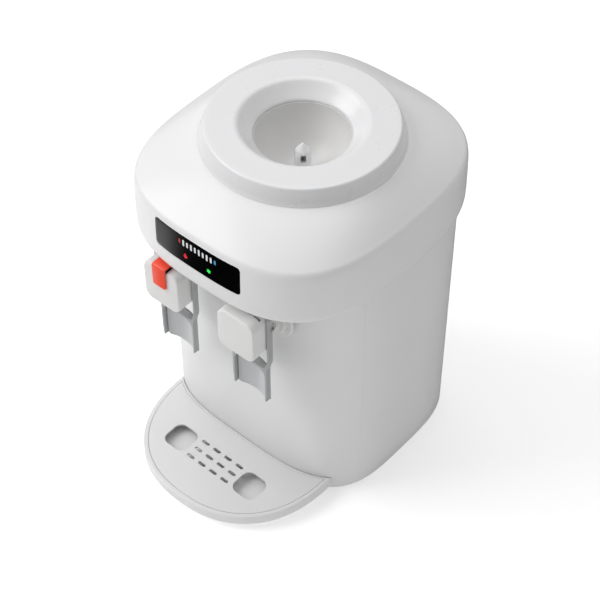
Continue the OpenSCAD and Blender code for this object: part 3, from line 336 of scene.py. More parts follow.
def flat_shape(name, loops, low, high, edge, place=to_plan):
    """A flat shape with holes (the first loop is its outside), made thick, with rounded edges."""
    curve = bpy.data.curves.new(name, "CURVE")
    curve.dimensions = "2D"
    curve.fill_mode = "BOTH"
    curve.extrude = ((high - low) / 2 - edge) * MM
    curve.bevel_depth = edge * MM
    curve.bevel_resolution = 3
    curve.offset = -edge * MM
    for loop in loops:
        spline = curve.splines.new("POLY")
        spline.points.add(len(loop) - 1)
        for point, (x, y) in zip(spline.points, loop):
            point.co = (x * MM, y * MM, 0, 1)
        spline.use_cyclic_u = True
    source = bpy.data.objects.new(name, curve)
    bpy.context.scene.collection.objects.link(source)
    shown = source.evaluated_get(bpy.context.evaluated_depsgraph_get())
    mesh = bpy.data.meshes.new_from_object(shown)
    middle = (low + high) / 2
    points = [place(v.co.x / MM, v.co.y / MM, v.co.z / MM + middle) for v in mesh.vertices]
    faces = [tuple(p.vertices) for p in mesh.polygons]
    bpy.data.objects.remove(source)
    bpy.data.curves.remove(curve)
    obj = mesh_object(name, points, faces)
    weld(obj)
    return obj


def weld(obj):
    """Joins points that lie together."""
    modifier = obj.modifiers.new("weld", "WELD")
    modifier.merge_threshold = 0.01 * MM
    return apply_modifiers(obj)


def mix(a, b, t):
    return a + (b - a) * t


def squared(a, b, power, angle):
    """One point of a squared ellipse."""
    c, s = math.cos(angle), math.sin(angle)
    reach = (abs(c / a) ** power + abs(s / b) ** power) ** (-1 / power)
    return reach * c, reach * s


def outline(a, front_b, rear_b, power, mid_y, steps=ROUND_STEPS):
    """A squared ellipse with its own depth in front of its middle and behind it."""
    angles = [math.tau * i / steps for i in range(steps)]
    points = [squared(a, rear_b if angle < math.pi else front_b, power, angle) for angle in angles]
    return [(x, y + mid_y) for x, y in points]


def body_outline(grow, steps=ROUND_STEPS):
    """The body's outline, with its back cut flat."""
    loop = outline(BODY_HALF_W + grow, BODY_HALF_D + grow, BODY_REAR_D + grow, BODY_POWER, BODY_MID_Y,
                   steps)
    return [(x, min(y, BODY_BACK_Y + grow)) for x, y in loop]


def rounded_rectangle(x, y, width, height, radius, steps=8):
    """A closed loop round the middle x, y, with steps chords in each corner."""
    corners = [(1, 1, 0), (-1, 1, 90), (-1, -1, 180), (1, -1, 270)]
    return [
        (x + sx * (width / 2 - radius) + radius * math.cos(math.radians(start + 90 * i / steps)),
         y + sy * (height / 2 - radius) + radius * math.sin(math.radians(start + 90 * i / steps)))
        for sx, sy, start in corners for i in range(steps + 1)
    ]


def circle(x, y, radius, steps=64):
    return [(x + radius * math.cos(math.tau * i / steps), y + radius * math.sin(math.tau * i / steps))
            for i in range(steps)]


def arc(x, y, radius, start, end, steps):
    """Points on part of a circle, between two angles in degrees."""
    return [(x + radius * math.cos(math.radians(start + (end - start) * i / steps)),
             y + radius * math.sin(math.radians(start + (end - start) * i / steps)))
            for i in range(steps + 1)]


def lathe(name, profile):
    """A closed profile of radius and height, turned round the bottle's axis."""
    steps = 256
    rings = [[(x, y, z) for x, y in circle(0, BOTTLE_Y, radius, steps)] for radius, z in profile]
    return loft(name, rings, closed=True)


def prism(name, loop, low, high, place=to_plan):
    """A plain prism, used as a tool that cuts."""
    rings = [[place(x, y, depth) for x, y in loop] for depth in (low, high)]
    return loft(name, rings)


def ready(obj, material, body, slot, *replaced, angle=32):
    """Shades a piece, hides the CAD nodes it stands for, and rides it on its body."""
    finish_mesh(obj, material, angle)
    if replaced:
        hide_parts(*replaced)
    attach(obj, body)
    return obj


# ---------- top housing and display ----------

# The side wall from its bottom to the dome: how far it is drawn in, and the height
WALL_PROFILE = [(3.2, 285), (2.4, 285.3), (1.6, 286.0), (1.0, 287.2), (0.5, 289), (0.2, 291.5), (0.1, 295),
                (0, 300), (0.1, 310), (0.25, 320), (0.5, 331), (0.75, 336), (1.2, 339.4), (1.8, 341.6),
                (2.6, 343.3), (3.7, 344.7)]
DOME_EDGE = 5


def housing_ring(shrink, z):
    a, b = HOUSING_HALF_W - shrink, HOUSING_HALF_D - shrink
    return [(x, y, z) for x, y in outline(a, b, b, HOUSING_POWER, HOUSING_MID_Y)]


def collar_ring(z):
    return [(x, y, z) for x, y in body_outline(COLLAR_GAP)]


def round_ring(radius, z):
    return [(x, y, z) for x, y in outline(radius, radius, radius, 2, BOTTLE_Y)]


def dome_ring(t, inset):
    """The domed top, from the wall's edge at t = 0 to the seat ring at t = 1."""
    edge, foot_r, rise = DOME_EDGE + inset, SEAT_FOOT_R + 1, DOME_TOP_Z - HOUSING_EDGE_Z
    a, b = mix(HOUSING_HALF_W - edge, foot_r, t), mix(HOUSING_HALF_D - edge, foot_r, t)
    loop = outline(a, b, b, mix(HOUSING_POWER, 2, t), mix(HOUSING_MID_Y, BOTTLE_Y, t))
    z = HOUSING_EDGE_Z - inset + rise * (t + DOME_CROWN * t * (1 - t))
    return [(x, y, z) for x, y in loop]


def display_prism(grow):
    """The display's front view, through the housing's front wall."""
    loop = rounded_rectangle(0, DISPLAY_Z, 2 * (DISPLAY_HALF_W + grow), DISPLAY_H + 2 * grow,
                             DISPLAY_CORNER + grow)
    return prism("display_shape", loop, -150, -105, to_front)


def make_housing():
    inset, dome_steps, lens_gap = HOUSING_WALL, 16, 0.22
    outside = [collar_ring(HOUSING_BOTTOM_Z + 0.6)] + [housing_ring(s, z) for s, z in WALL_PROFILE]
    outside += [dome_ring(i / dome_steps, 0) for i in range(dome_steps + 1)]
    outside += [round_ring(HOUSING_HOLE_R, DOME_TOP_Z)]
    inside = [round_ring(HOUSING_HOLE_R, DOME_TOP_Z - inset)]
    inside += [dome_ring(i / dome_steps, inset) for i in range(dome_steps, -1, -2)]
    inside += [housing_ring(inset + 0.5, 332), housing_ring(inset, 300), housing_ring(inset + 0.2, 290)]
    inside += [collar_ring(HOUSING_BOTTOM_Z + 0.6 + inset)]
    shell = loft("top_housing_shell", outside + inside, closed=True)
    boolean(shell, display_prism(lens_gap))
    ready(shell, WHITE, BODY, "shell_white", "top_housing", angle=28)


def make_display():
    """A curved slab that follows the wall, cut to the display's front view."""
    wall = [(s, z) for s, z in WALL_PROFILE if 295 <= z] + [(DOME_EDGE, HOUSING_EDGE_Z)]
    proud = [housing_ring(s + LENS_PROUD, z) for s, z in wall]
    deep = [housing_ring(s + LENS_DEPTH, z) for s, z in reversed(wall)]
    slab = loft("display_window", proud + deep, closed=True)
    boolean(slab, display_prism(0), "INTERSECT")
    bevel(slab, 0.25, 2, 50)
    ready(slab, DISPLAY_BLACK, BODY, "display_black", "display_lens", angle=25)


def wall_y(x, z, lift):
    """Front surface of the display at x and z, in front of it by lift."""
    (low_shrink, low_z), (high_shrink, high_z) = next(
        pair for pair in zip(WALL_PROFILE, WALL_PROFILE[1:]) if pair[1][1] >= z)
    shrink = mix(low_shrink, high_shrink, (z - low_z) / (high_z - low_z)) + LENS_PROUD
    a, b = HOUSING_HALF_W - shrink, HOUSING_HALF_D - shrink
    return HOUSING_MID_Y - b * (1 - abs(x / a) ** HOUSING_POWER) ** (1 / HOUSING_POWER) - lift


def printed_mark(name, loops, material, slot):
    """A thin printed mark that lies on the curved display."""
    lifts, pieces = (-0.1, 0.06), []
    for index, loop in enumerate(loops):
        count = len(loop)
        middle_x = sum(x for x, z in loop) / count
        middle_z = sum(z for x, z in loop) / count
        points = [(x, wall_y(x, z, lift), z) for lift in lifts for x, z in loop]
        points += [(middle_x, wall_y(middle_x, middle_z, lift), middle_z) for lift in lifts]
        faces = []
        for i in range(count):
            n = (i + 1) % count
            faces += [(i, n, count + n, count + i), (i, 2 * count, n), (count + i, count + n, 2 * count + 1)]
        pieces.append(mesh_object(f"{name}_{index}", points, faces))
    mark = join(name, pieces)
    ready(mark, material, BODY, slot)


def star_loop(x, z, reach, waist):
    """A star with six points."""
    turns = [(reach if i % 2 == 0 else waist, math.pi * i / 6 + math.pi / 2) for i in range(12)]
    return [(x + r * math.cos(t), z + r * math.sin(t)) for r, t in turns]


def drop_loop(x, z, radius):
    """A drop: a circle with its top drawn up to a point."""
    return [(x + radius * math.cos(t) * (1 - 0.25 * max(0, math.sin(t))),
             z + radius * (math.sin(t) + 0.55 * max(0, math.sin(t)) ** 6))
            for t in [math.tau * i / 28 for i in range(28)]]


def make_marks():
    """A generic row of bars where a name would be, and one lit mark for each lamp."""
    pitch, middle, row_z, width, corner = 4.7, 2.4, 330.4, 2.2, 1.0
    heights = (5.0, 7.4, 6.2, 7.4, 6.6, 7.4, 6.2, 7.4, 6.6, 5.0)
    first_x = middle - pitch * (len(heights) - 1) / 2
    bars = [rounded_rectangle(first_x + pitch * i, row_z, width, height, corner, 4)
            for i, height in enumerate(heights)]
    printed_mark("level_bar_hot", bars[:1], MARK_RED, "catch_red")
    printed_mark("level_bars", bars[1:-1], MARK_WHITE, "shell_white")
    printed_mark("level_bar_cold", bars[-1:], MARK_BLUE, "shell_white")
    printed_mark("heating_mark", [drop_loop(HEATING_LAMP_X, LAMP_Z, 2.4)], LIT_RED, "led_red")
    printed_mark("cooling_mark", [star_loop(COOLING_LAMP_X, LAMP_Z, 2.8, 1.5)], LIT_GREEN, "led_green")


# ---------- bottle receiver ----------

def make_seat_ring():
    """The ring that carries the bottle: a skirt, a flat top, and a rolled lip down into the funnel."""
    top, edge, skin, foot_z = SEAT_TOP_Z, 2.4, RECEIVER_SKIN, SEAT_FOOT_Z
    skirt = [(SEAT_FOOT_R, foot_z), (SEAT_FOOT_R - 0.9, foot_z + 1.0), (93.2, foot_z + 5), (92.4, foot_z + 9)]
    flat_top = arc(SEAT_R - edge, top - edge, edge, 12, 84, 8) + [(85, top), (78, top), (71, top)]
    lip = arc(LIP_R, top - LIP_ROLL, LIP_ROLL, 84, 132, 10)
    funnel = [(54.5, 379.4), (50, 375.2), (46.6, 372.1), (45.9, 371.3), (FUNNEL_R, 370.4), (FUNNEL_R, 369.2)]
    underside = [(FUNNEL_R + skin, 369.0), (50, 371.6)]
    underside += arc(LIP_R, top - LIP_ROLL, LIP_ROLL - skin, 132, 90, 6)
    underside += [(84, top - skin), (SEAT_R - 3, top - skin - 1), (SEAT_R - 1.5, top - 6)]
    underside += [(SEAT_FOOT_R - skin - 1.4, foot_z + 6), (SEAT_FOOT_R - skin, foot_z)]
    ring = lathe("bottle_seat_ring", skirt + flat_top + lip + funnel + underside)
    ready(ring, RING_WHITE, "receiver", "shell_white", "seat_ring", angle=38)


def make_bowl():
    """A rounded bowl with a flat floor round the spike, and a flange that the ring sits on."""
    rim_r, rim_z, skin, steps = FUNNEL_R - 1, BOWL_RIM_Z, BOWL_SKIN, 24
    end = math.acos(BOWL_FLOOR_R / rim_r)
    depth = (rim_z - BOWL_FLOOR_Z) / math.sin(end)
    turns = [end * i / steps for i in range(steps + 1)]
    profile = [(rim_r * math.cos(t), rim_z - depth * math.sin(t)) for t in turns]
    profile += [(BOWL_HOLE_R, BOWL_FLOOR_Z), (BOWL_HOLE_R, BOWL_FLOOR_Z - skin)]
    profile += [((rim_r + skin) * math.cos(t), rim_z - (depth + skin) * math.sin(t)) for t in turns[:0:-1]]
    flange_r = rim_r + BOWL_FLANGE
    profile += [(rim_r + skin, rim_z - skin), (flange_r, rim_z - skin), (flange_r, rim_z)]
    bowl = lathe("receiver_bowl_shell", profile)
    ready(bowl, BOWL_WHITE, "receiver", "shell_white", "receiver_bowl", angle=40)


# ---------- body panels ----------

def wall_band(limit_y, in_front):
    """A closed loop round the part of the body's wall in front of limit_y, or behind it."""
    def kept(grow):
        a, b = BODY_HALF_W + grow, BODY_HALF_D + grow
        end_x = a * (1 - (abs(limit_y - BODY_MID_Y) / b) ** BODY_POWER) ** (1 / BODY_POWER)
        points = body_outline(grow, 480)
        start = len(points) // 4 * (1 if in_front else 3)
        points = [p for p in points[start:] + points[:start] if (p[1] < limit_y) == in_front]
        first_x = -end_x if in_front else end_x
        return [(first_x, limit_y)] + points + [(-first_x, limit_y)]

    return kept(0) + kept(-WALL)[::-1]


def band_object(name, loop):
    levels = [BODY_BOTTOM_Z, BODY_BOTTOM_Z + 20, 90, 160, 230, BODY_TOP_Z]
    obj = loft(name, [[(x, y, z) for x, y in loop] for z in levels])
    return bevel(obj, 0.12, 2, 60)


def cut_front(obj, loop):
    """Cuts a hole through the front wall."""
    boolean(obj, prism("front_hole", loop, -85, -50, to_front))


def cut_back(obj, loop):
    """Cuts a hole through the flat back wall."""
    boolean(obj, prism("back_hole", loop, 120, 150, to_front))


def make_panels():
    front = band_object("front_panel_shell", wall_band(SEAM_Y - HALF_SEAM, True))
    for x in (-TAP_X, TAP_X):
        cut_front(front, circle(x, BARREL_Z, BARREL_R + 0.2))
    for x in (-HOOK_X, HOOK_X):
        cut_front(front, rounded_rectangle(x, HOOK_HOLE_Z, HOOK_HOLE_W, HOOK_HOLE_H, 0.5, 2))
    ready(front, WHITE, BODY, "shell_white", "front_panel", angle=30)

    sides = band_object("side_panel_shell", wall_band(SEAM_Y + HALF_SEAM, False))
    cut_back(sides, rounded_rectangle(0, REAR_WINDOW_Z, REAR_WINDOW_W, REAR_WINDOW_H, 2, 4))
    for x in (-SCREW_X, SCREW_X):
        for z in SCREW_LEVELS:
            cut_back(sides, circle(x, z, SCREW_HOLE_R, 24))
    ready(sides, WHITE, BODY, "shell_white", "side_panels", angle=30)


# ---------- taps ----------

def cover_ring(x, y, shrink, corner, top_shrink):
    """The cover's front view at one depth, drawn in on its sides and foot, and apart from that at its top."""
    height = COVER_H - shrink - top_shrink
    middle_z = COVER_Z + (shrink - top_shrink) / 2
    loop = rounded_rectangle(0, middle_z, COVER_W - 2 * shrink, height, corner, 12)
    return [(x + px, y, pz) for px, pz in loop]


def cover_skins(x):
    """Rings of the cover's outside and of its hollow."""
    front_y, back_y, corner, edge_steps = COVER_FRONT_Y, COVER_BACK_Y, COVER_CORNER, 8
    side_edge, top_edge, edge_depth = 1.4, 3.2, 2.2
    outside = [cover_ring(x, back_y, 0.25, corner, 0.25), cover_ring(x, back_y - 0.4, 0, corner, 0),
               cover_ring(x, -112, 0, corner, 0)]
    for i in range(edge_steps + 1):
        turn = math.pi / 2 * i / edge_steps
        inward, forward = 1 - math.cos(turn), 1 - math.sin(turn)
        outside.append(cover_ring(x, front_y + edge_depth * forward, side_edge * inward, corner - inward,
                                  top_edge * inward))
    outside += [cover_ring(x, front_y, 14, 4, 14), cover_ring(x, front_y, 20, 1.2, 20)]
    inside = [cover_ring(x, y, shrink, radius, shrink) for y, shrink, radius in (
        (front_y + COVER_SKIN, 20, 1.2), (front_y + COVER_SKIN, 5, 6), (-119, COVER_SKIN, 7),
        (back_y + 4, COVER_SKIN, 7))]
    return outside, inside


def make_cover(side, x, has_catch):
    """A cap that is open at its back, with a flat face and a softer edge along its top."""
    outside, inside = cover_skins(x)
    cover = loft(f"{side}_cover", outside)
    boolean(cover, loft(f"{side}_hollow", inside))
    spout_low_z, spout_high_z = 215, 240
    nozzle = circle(x, GRILLE_MID_Y, 7)
    spout = rounded_rectangle(x, -100, 11.8, 24.6, 0.2, 2)
    boolean(cover, prism("nozzle_hole", nozzle, spout_low_z, spout_high_z))
    boolean(cover, prism("spout_slot", spout, spout_low_z, spout_high_z))
    above_z = COVER_TOP_Z + 4
    for place in (-1.5, -0.5, 0.5, 1.5):
        vent = rounded_rectangle(x + VENT_PITCH * place, VENT_Y, VENT_L, VENT_W, 0.4, 3)
        boolean(cover, prism("vent", vent, COVER_Z, above_z))
    if has_catch:
        notch_z, shelf_t = COVER_TOP_Z - COVER_SKIN + 0.2, 2
        notch = rounded_rectangle(x, COVER_FRONT_Y + 4.35, 2 * (CATCH_HALF_W + GAP), 10.7, 0.4, 3)
        boolean(cover, prism("catch_notch", notch, notch_z, above_z))
        shelf = [rounded_rectangle(x, COVER_FRONT_Y + 7.05, 20, 9.1, 0.5, 2),
                 circle(x, CATCH_LEG_Y, CATCH_LEG_R + GAP, 32)]
        shelf_piece = flat_shape("catch_shelf", shelf, notch_z - shelf_t, notch_z, 0.2)
        cover = join(f"{side}_cover", [cover, shelf_piece])
    ready(cover, COVER_WHITE, BODY, "tap_white", f"{side}_tap_cover", angle=34)


def make_nut(side, x):
    """The nut that holds the barrel to the panel: a flange and two smaller steps in front of it."""
    hole, flange, middle, front = BARREL_R + 0.2, NUT_R, NUT_R - 7, NUT_R - 11.5
    profile = [(hole, 0), (flange - 0.4, 0), (flange, 0.5), (flange, 2.7), (flange - 0.7, 3.4),
               (middle + 0.8, 3.5), (middle, 4.3), (middle, 5.8), (middle - 0.6, 6.4),
               (front + 0.6, 6.5), (front, 7.1), (front, 7.8), (front - 0.6, 8.4), (hole + 0.4, 8.4),
               (hole, 8.0)]
    rings = [[(px, NUT_BACK_Y - forward, z) for px, z in circle(x, BARREL_Z, radius, 96)]
             for radius, forward in profile]
    nut = loft(f"{side}_ring_nut", rings, closed=True)
    ready(nut, COVER_WHITE, BODY, "tap_white", f"{side}_tap_nut", angle=30)


# ---------- levers ----------

def arm_half(z):
    """Half of the width across the arms at a height, drawn in smoothly at the neck."""
    t = min(1, max(0, (z - NECK_LOW_Z) / (NECK_HIGH_Z - NECK_LOW_Z)))
    return LOOP_HALF_W + (ARM_HALF_W - LOOP_HALF_W) * t * t * (3 - 2 * t)


def hollow_y(px, radius=PADDLE_FACE_R):
    """Depth of a circle that follows the paddle's hollow face, px from its middle."""
    middle = FRAME_FRONT_Y + 3.6 - math.sqrt(PADDLE_FACE_R ** 2 - PADDLE_HALF_W ** 2)
    return middle + math.sqrt(radius ** 2 - px ** 2)


def make_web(x):
    """The curved sheet between the arms that carries the paddle."""
    half_w, steps, web_t = LOOP_HALF_W - 0.5, 16, 1.4
    near = PADDLE_FACE_R + PADDLE_T + GAP
    across = [half_w * (i / steps - 1) for i in range(2 * steps + 1)]
    loop = [(x + px, hollow_y(px, near)) for px in across]
    loop += [(x + px, hollow_y(px, near + web_t)) for px in across[::-1]]
    return loft("web", [[(px, py, z) for px, py in loop] for z in (LEVER_BOTTOM_Z + 0.4, PADDLE_HIGH_Z)])


def make_arm(x, sign):
    """One arm, with the lower outer corner of its foot taken off."""
    heights = [LEVER_BOTTOM_Z, LEVER_BOTTOM_Z + 14, 190, 200]
    heights += list(range(NECK_LOW_Z, NECK_HIGH_Z + 1, 2)) + [230, 245, BAR_HIGH_Z]
    loop = [(x + sign * arm_half(z), z) for z in heights]
    loop += [(x + sign * (arm_half(z) - ARM_T), z) for z in reversed(heights)]
    loop[0] = (loop[0][0] - sign * 0.9, loop[0][1] + 0.6)
    return flat_shape("arm", [loop], FRAME_FRONT_Y, FRAME_FRONT_Y + FRAME_DEPTH, 0.5, to_front)


def make_arch(x):
    """The arch above the paddle, with a small fillet up to each arm."""
    air, arch_t = 1.2, 2.4
    inner, corner = LOOP_HALF_W - ARM_T, PADDLE_CORNER + air
    low_z, top_z = PADDLE_HIGH_Z - 8, PADDLE_HIGH_Z + air
    under = [(-inner, low_z)] + arc(corner - inner, top_z - corner, corner, 180, 90, 10)
    under += arc(inner - corner, top_z - corner, corner, 90, 0, 10) + [(inner, low_z)]
    over = [(inner + 0.7, low_z), (inner + 0.7, top_z + arch_t + 2)]
    over += [(inner - 0.6, top_z + arch_t + 0.5), (inner - 2.4, top_z + arch_t)]
    loop = under + over + [(-px, pz) for px, pz in reversed(over)]
    return flat_shape("arch", [[(x + px, pz) for px, pz in loop]], FRAME_FRONT_Y,
                      FRAME_FRONT_Y + FRAME_DEPTH, 0.4, to_front)


def make_bar(x):
    """The bar that lifts the valve stem with its fork, and a cheek at each end of it."""
    front_y, back_y, fork = PIVOT_Y + 0.6, STEM_Y + 5, 2.9
    bar = [(-ARM_HALF_W, front_y), (ARM_HALF_W, front_y), (ARM_HALF_W, back_y), (fork, back_y)]
    bar += arc(0, STEM_Y, fork, 0, -180, 12) + [(-fork, back_y), (-ARM_HALF_W, back_y)]
    pieces = [flat_shape("bar", [[(x + px, py) for px, py in bar]], BAR_LOW_Z, BAR_HIGH_Z, 0.4)]
    for middle_x in (x - ARM_HALF_W + ARM_T / 2, x + ARM_HALF_W - ARM_T / 2):
        length = back_y - FRAME_FRONT_Y
        cheek = rounded_rectangle(middle_x, (FRAME_FRONT_Y + back_y) / 2, ARM_T, length, 0.4, 2)
        pieces.append(flat_shape("cheek", [cheek], BAR_LOW_Z, BAR_HIGH_Z, 0.3))
    return pieces


def make_boss(middle_x):
    """The eye round the pivot pin, drawn flat and then stood on its edge."""
    boss_r, hole_r = 4.2, 1.65
    loops = [circle(PIVOT_Y, PIVOT_Z, boss_r), circle(PIVOT_Y, PIVOT_Z, hole_r, 32)]
    boss = flat_shape("boss", loops, -ARM_T / 2, ARM_T / 2, 0.3)
    boss.data.transform(Matrix(((0, 0, 1, middle_x * MM), (1, 0, 0, 0), (0, 1, 0, 0), (0, 0, 0, 1))))
    return boss


def make_lever(side, x):
    """Two arms with an arch and a web between them, and the bar above that lifts the valve stem."""
    pieces = [make_arm(x, -1), make_arm(x, 1), make_arch(x), make_web(x)] + make_bar(x)
    pieces += [make_boss(x + sign * (ARM_HALF_W - ARM_T / 2)) for sign in (-1, 1)]
    lever = join(f"{side}_lever_frame", pieces)
    ready(lever, LEVER_GREY, f"{side}_lever", "lever_grey", f"{side}_lever", angle=40)


def corner_drop(px, radius):
    """How far a rounded corner has fallen away at px from the paddle's middle."""
    into = max(0, abs(px) - PADDLE_HALF_W + radius)
    return radius - math.sqrt(max(0, radius ** 2 - into ** 2))


def paddle_heights(px, insets):
    """Heights of the points in one upright row of the paddle's face, px from its middle."""
    low_z = PADDLE_LOW_Z + corner_drop(px, 3)
    high_z = PADDLE_HIGH_Z - corner_drop(px, PADDLE_CORNER)
    low, high = low_z + insets[-1], high_z - insets[-1]
    between = [mix(low, high, t / 4) for t in (1, 2, 3)]
    return [low_z + inset for inset in insets] + between + [high_z - inset for inset in reversed(insets)]


def grid_solid(name, front, back, columns, rows):
    """A solid between two equal grids of points, each listed column by column."""
    shift, last = len(front), columns - 1
    faces = []
    for i in range(last):
        for j in range(rows - 1):
            a = i * rows + j
            faces.append((a, a + rows, a + rows + 1, a + 1))
            faces.append((shift + a, shift + a + 1, shift + a + rows + 1, shift + a + rows))
        for a in (i * rows, i * rows + rows - 1):
            faces.append((a, a + rows, shift + a + rows, shift + a))
    for a in list(range(rows - 1)) + list(range(last * rows, last * rows + rows - 1)):
        faces.append((a, a + 1, shift + a + 1, shift + a))
    return mesh_object(name, front + back, faces)


def make_paddle(side, x):
    """A hollow plate for the cup, with a raised border all round."""
    insets, rounding, relief = [0, 0.5, 1.8, 2.1], 0.3, 0.45
    inner_w = PADDLE_HALF_W - insets[-1]
    columns = [inset - PADDLE_HALF_W for inset in insets] + [inner_w * (i / 12 - 1) for i in range(1, 24)]
    columns += [PADDLE_HALF_W - inset for inset in reversed(insets)]
    front, back = [], []
    for i, px in enumerate(columns):
        heights = paddle_heights(px, insets)
        for j, z in enumerate(heights):
            from_edge = min(i, len(columns) - 1 - i, j, len(heights) - 1 - j)
            depth = rounding if from_edge == 0 else relief if from_edge >= 3 else 0
            front.append((x + px, hollow_y(px) + depth, z))
            back.append((x + px, hollow_y(px) + PADDLE_T, z))
    paddle = grid_solid(f"{side}_cup_paddle", front, back, len(columns), len(heights))
    ready(paddle, PADDLE_GREY, f"{side}_lever", "paddle_grey", f"{side}_paddle", angle=28)


def make_catch():
    """The red catch that hooks over the hot tap's cover."""
    x, front_y, top_z = -TAP_X, COVER_FRONT_Y - GAP - CATCH_T, COVER_TOP_Z + 4.8
    low_z, roll, corner = top_z - CATCH_H, 2.4, 2.2
    profile = [(0, low_z)] + arc(roll, top_z - roll, roll, 180, 90, 5)
    profile += [(CATCH_L, top_z), (CATCH_L, top_z - CATCH_T), (CATCH_T + 0.5, top_z - CATCH_T),
                (CATCH_T, top_z - CATCH_T - 0.5), (CATCH_T, low_z)]
    sides = (x - CATCH_HALF_W, x + CATCH_HALF_W)
    hook = loft("catch_hook", [[(px, front_y + y, z) for y, z in profile] for px in sides])
    face = rounded_rectangle(x, low_z + 20, 2 * CATCH_HALF_W + 0.02, 40, corner, 6)
    boolean(hook, prism("catch_face", face, front_y - 5, front_y + 20, to_front), "INTERSECT")
    bevel(hook, 0.5, 3, 50)
    leg = prism("catch_leg", circle(x, CATCH_LEG_Y, CATCH_LEG_R, 32), CATCH_LEG_Z, top_z - 1)
    bevel(leg, 0.3, 2, 50)
    ready(join("catch_piece", [hook, leg]), CATCH_RED, "safety_catch", "catch_red", "safety_catch", angle=40)


# ---------- drip tray ----------

def tray_loop(shrink, back_shrink):
    """Outline of the tray: a squared ellipse at its front, and the body's face at its back."""
    front_steps, back_steps, halvings = 220, 90, 60
    a, b = TRAY_HALF_W - shrink, TRAY_MID_Y - TRAY_FRONT_Y - shrink
    body_a, body_b = BODY_HALF_W + GAP + back_shrink, BODY_HALF_D + GAP + back_shrink

    def depth_in_body(angle):
        x, y = squared(a, b, TRAY_POWER, angle)
        return abs(x / body_a) ** BODY_POWER + abs((y + TRAY_MID_Y - BODY_MID_Y) / body_b) ** BODY_POWER - 1

    low, high = -math.pi / 2, math.pi / 4
    for _ in range(halvings):
        middle = (low + high) / 2
        low, high = (middle, high) if depth_in_body(middle) > 0 else (low, middle)
    corner = squared(a, b, TRAY_POWER, low)
    start = math.atan2(corner[1] + TRAY_MID_Y - BODY_MID_Y, corner[0])
    front = [squared(a, b, TRAY_POWER, low - (math.pi + 2 * low) * i / front_steps)
             for i in range(front_steps)]
    back = [squared(body_a, body_b, BODY_POWER, -math.pi - start + (math.pi + 2 * start) * i / back_steps)
            for i in range(back_steps)]
    return [(x, y + TRAY_MID_Y) for x, y in front] + [(x, y + BODY_MID_Y) for x, y in back]


def make_hook(x):
    """One of the two hooks that go through the front panel's slots."""
    middle_y, width, length, low_z, high_z = -68, 18, 14, 9, 13
    hook = prism("hook", rounded_rectangle(x, middle_y, width, length, 1, 3), low_z, high_z)
    return bevel(hook, 0.4, 2, 50)


def make_tray():
    """The tray from its skirt up over its rim, and down by a ledge for the grille to its floor."""
    rim, back, top, skirt, floor_z = TRAY_RIM, TRAY_BACK_RIM, TRAY_TOP_Z, TRAY_SKIRT_Z, TRAY_FLOOR_Z
    ledge_z = top - GRILLE_T - GAP
    levels = [
        (1.4, 0.5, skirt), (0.5, 0.2, skirt + 0.3), (0.1, 0.1, skirt + 1), (0, 0, skirt + 2),
        (0, 0, top - 1.3), (0.15, 0.05, top - 0.7), (0.5, 0.15, top - 0.25), (1, 0.35, top),
        (rim - 0.6, back - 0.4, top), (rim - 0.25, back - 0.25, top - 0.08),
        (rim - 0.05, back - 0.05, top - 0.3), (rim, back, top - 0.6), (rim, back, ledge_z),
        (rim + 2, back + 1, ledge_z), (rim + 2, back + 1, floor_z + 2),
        (rim + 2.6, back + 1.6, floor_z + 0.6), (rim + 4, back + 3, floor_z),
    ]
    rings = [[(x, y, z) for x, y in tray_loop(shrink, back_shrink)] for shrink, back_shrink, z in levels]
    shell = loft("drip_tray_shell", rings)
    tray = join("drip_tray_shell", [shell, make_hook(-HOOK_X), make_hook(HOOK_X)])
    ready(tray, TRAY_WHITE, "drip_tray", "shell_white", "drip_tray", angle=34)


def make_grille():
    """The plate over the tray, with four columns of three slots between two wells."""
    slots = [rounded_rectangle(SLOT_PITCH_X * column, GRILLE_MID_Y + SLOT_PITCH_Y * row, SLOT_L, SLOT_W,
                               SLOT_W / 2 - 0.05, 6)
             for column in (-1.5, -0.5, 0.5, 1.5) for row in (-1, 0, 1)]
    wells = [rounded_rectangle(x, GRILLE_MID_Y, WELL_SIZE, WELL_SIZE, WELL_CORNER, 14)
             for x in (-WELL_X, WELL_X)]
    plate = tray_loop(TRAY_RIM + GAP, TRAY_BACK_RIM + GAP)
    grille = flat_shape("drip_grille_plate", [plate] + slots + wells, TRAY_TOP_Z - GRILLE_T, TRAY_TOP_Z, 0.3)
    ready(grille, TRAY_WHITE, "drip_grille", "shell_white", "drip_grille", angle=34)


# ---------- CAD nodes that keep their shape ----------

def dress_nodes():
    """Gives each CAD node that is shown as it is its material."""
    for name, material in NODE_MATERIALS.items():
        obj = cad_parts[name]
        obj.data.materials.clear()
        obj.data.materials.append(material)


# ---------- stage, light and camera ----------

def area_light(name, location, target, size, power):
    """A square soft lamp that faces its target."""
    light = bpy.data.lights.new(name, "AREA")
    light.shape = "SQUARE"
    light.size = size
    light.energy = power
    obj = bpy.data.objects.new(name, light)
    bpy.context.scene.collection.objects.link(obj)
    obj.location = location
    obj.rotation_euler = (Vector(target) - Vector(location)).to_track_quat("-Z", "Y").to_euler()


def make_stage():
    """A pale floor so wide that its edge is never near the part."""
    reach, color = 6000, (0.97, 0.97, 0.97)
    corners = [(-reach, -reach, 0), (reach, -reach, 0), (reach, reach, 0), (-reach, reach, 0)]
    floor = mesh_object("floor", corners, [(0, 1, 2, 3)])
    material, nodes, links, bsdf = shader("pale_floor", color, 0.75)
    vary_color(nodes, links, bsdf, color, 0.006, 3)
    bsdf.inputs["Specular IOR Level"].default_value = 0.1
    bsdf.inputs["Emission Color"].default_value = (1, 1, 1, 1)
    bsdf.inputs["Emission Strength"].default_value = FLOOR_GLOW
    floor.data.materials.append(material)
    floor.visible_glossy = False


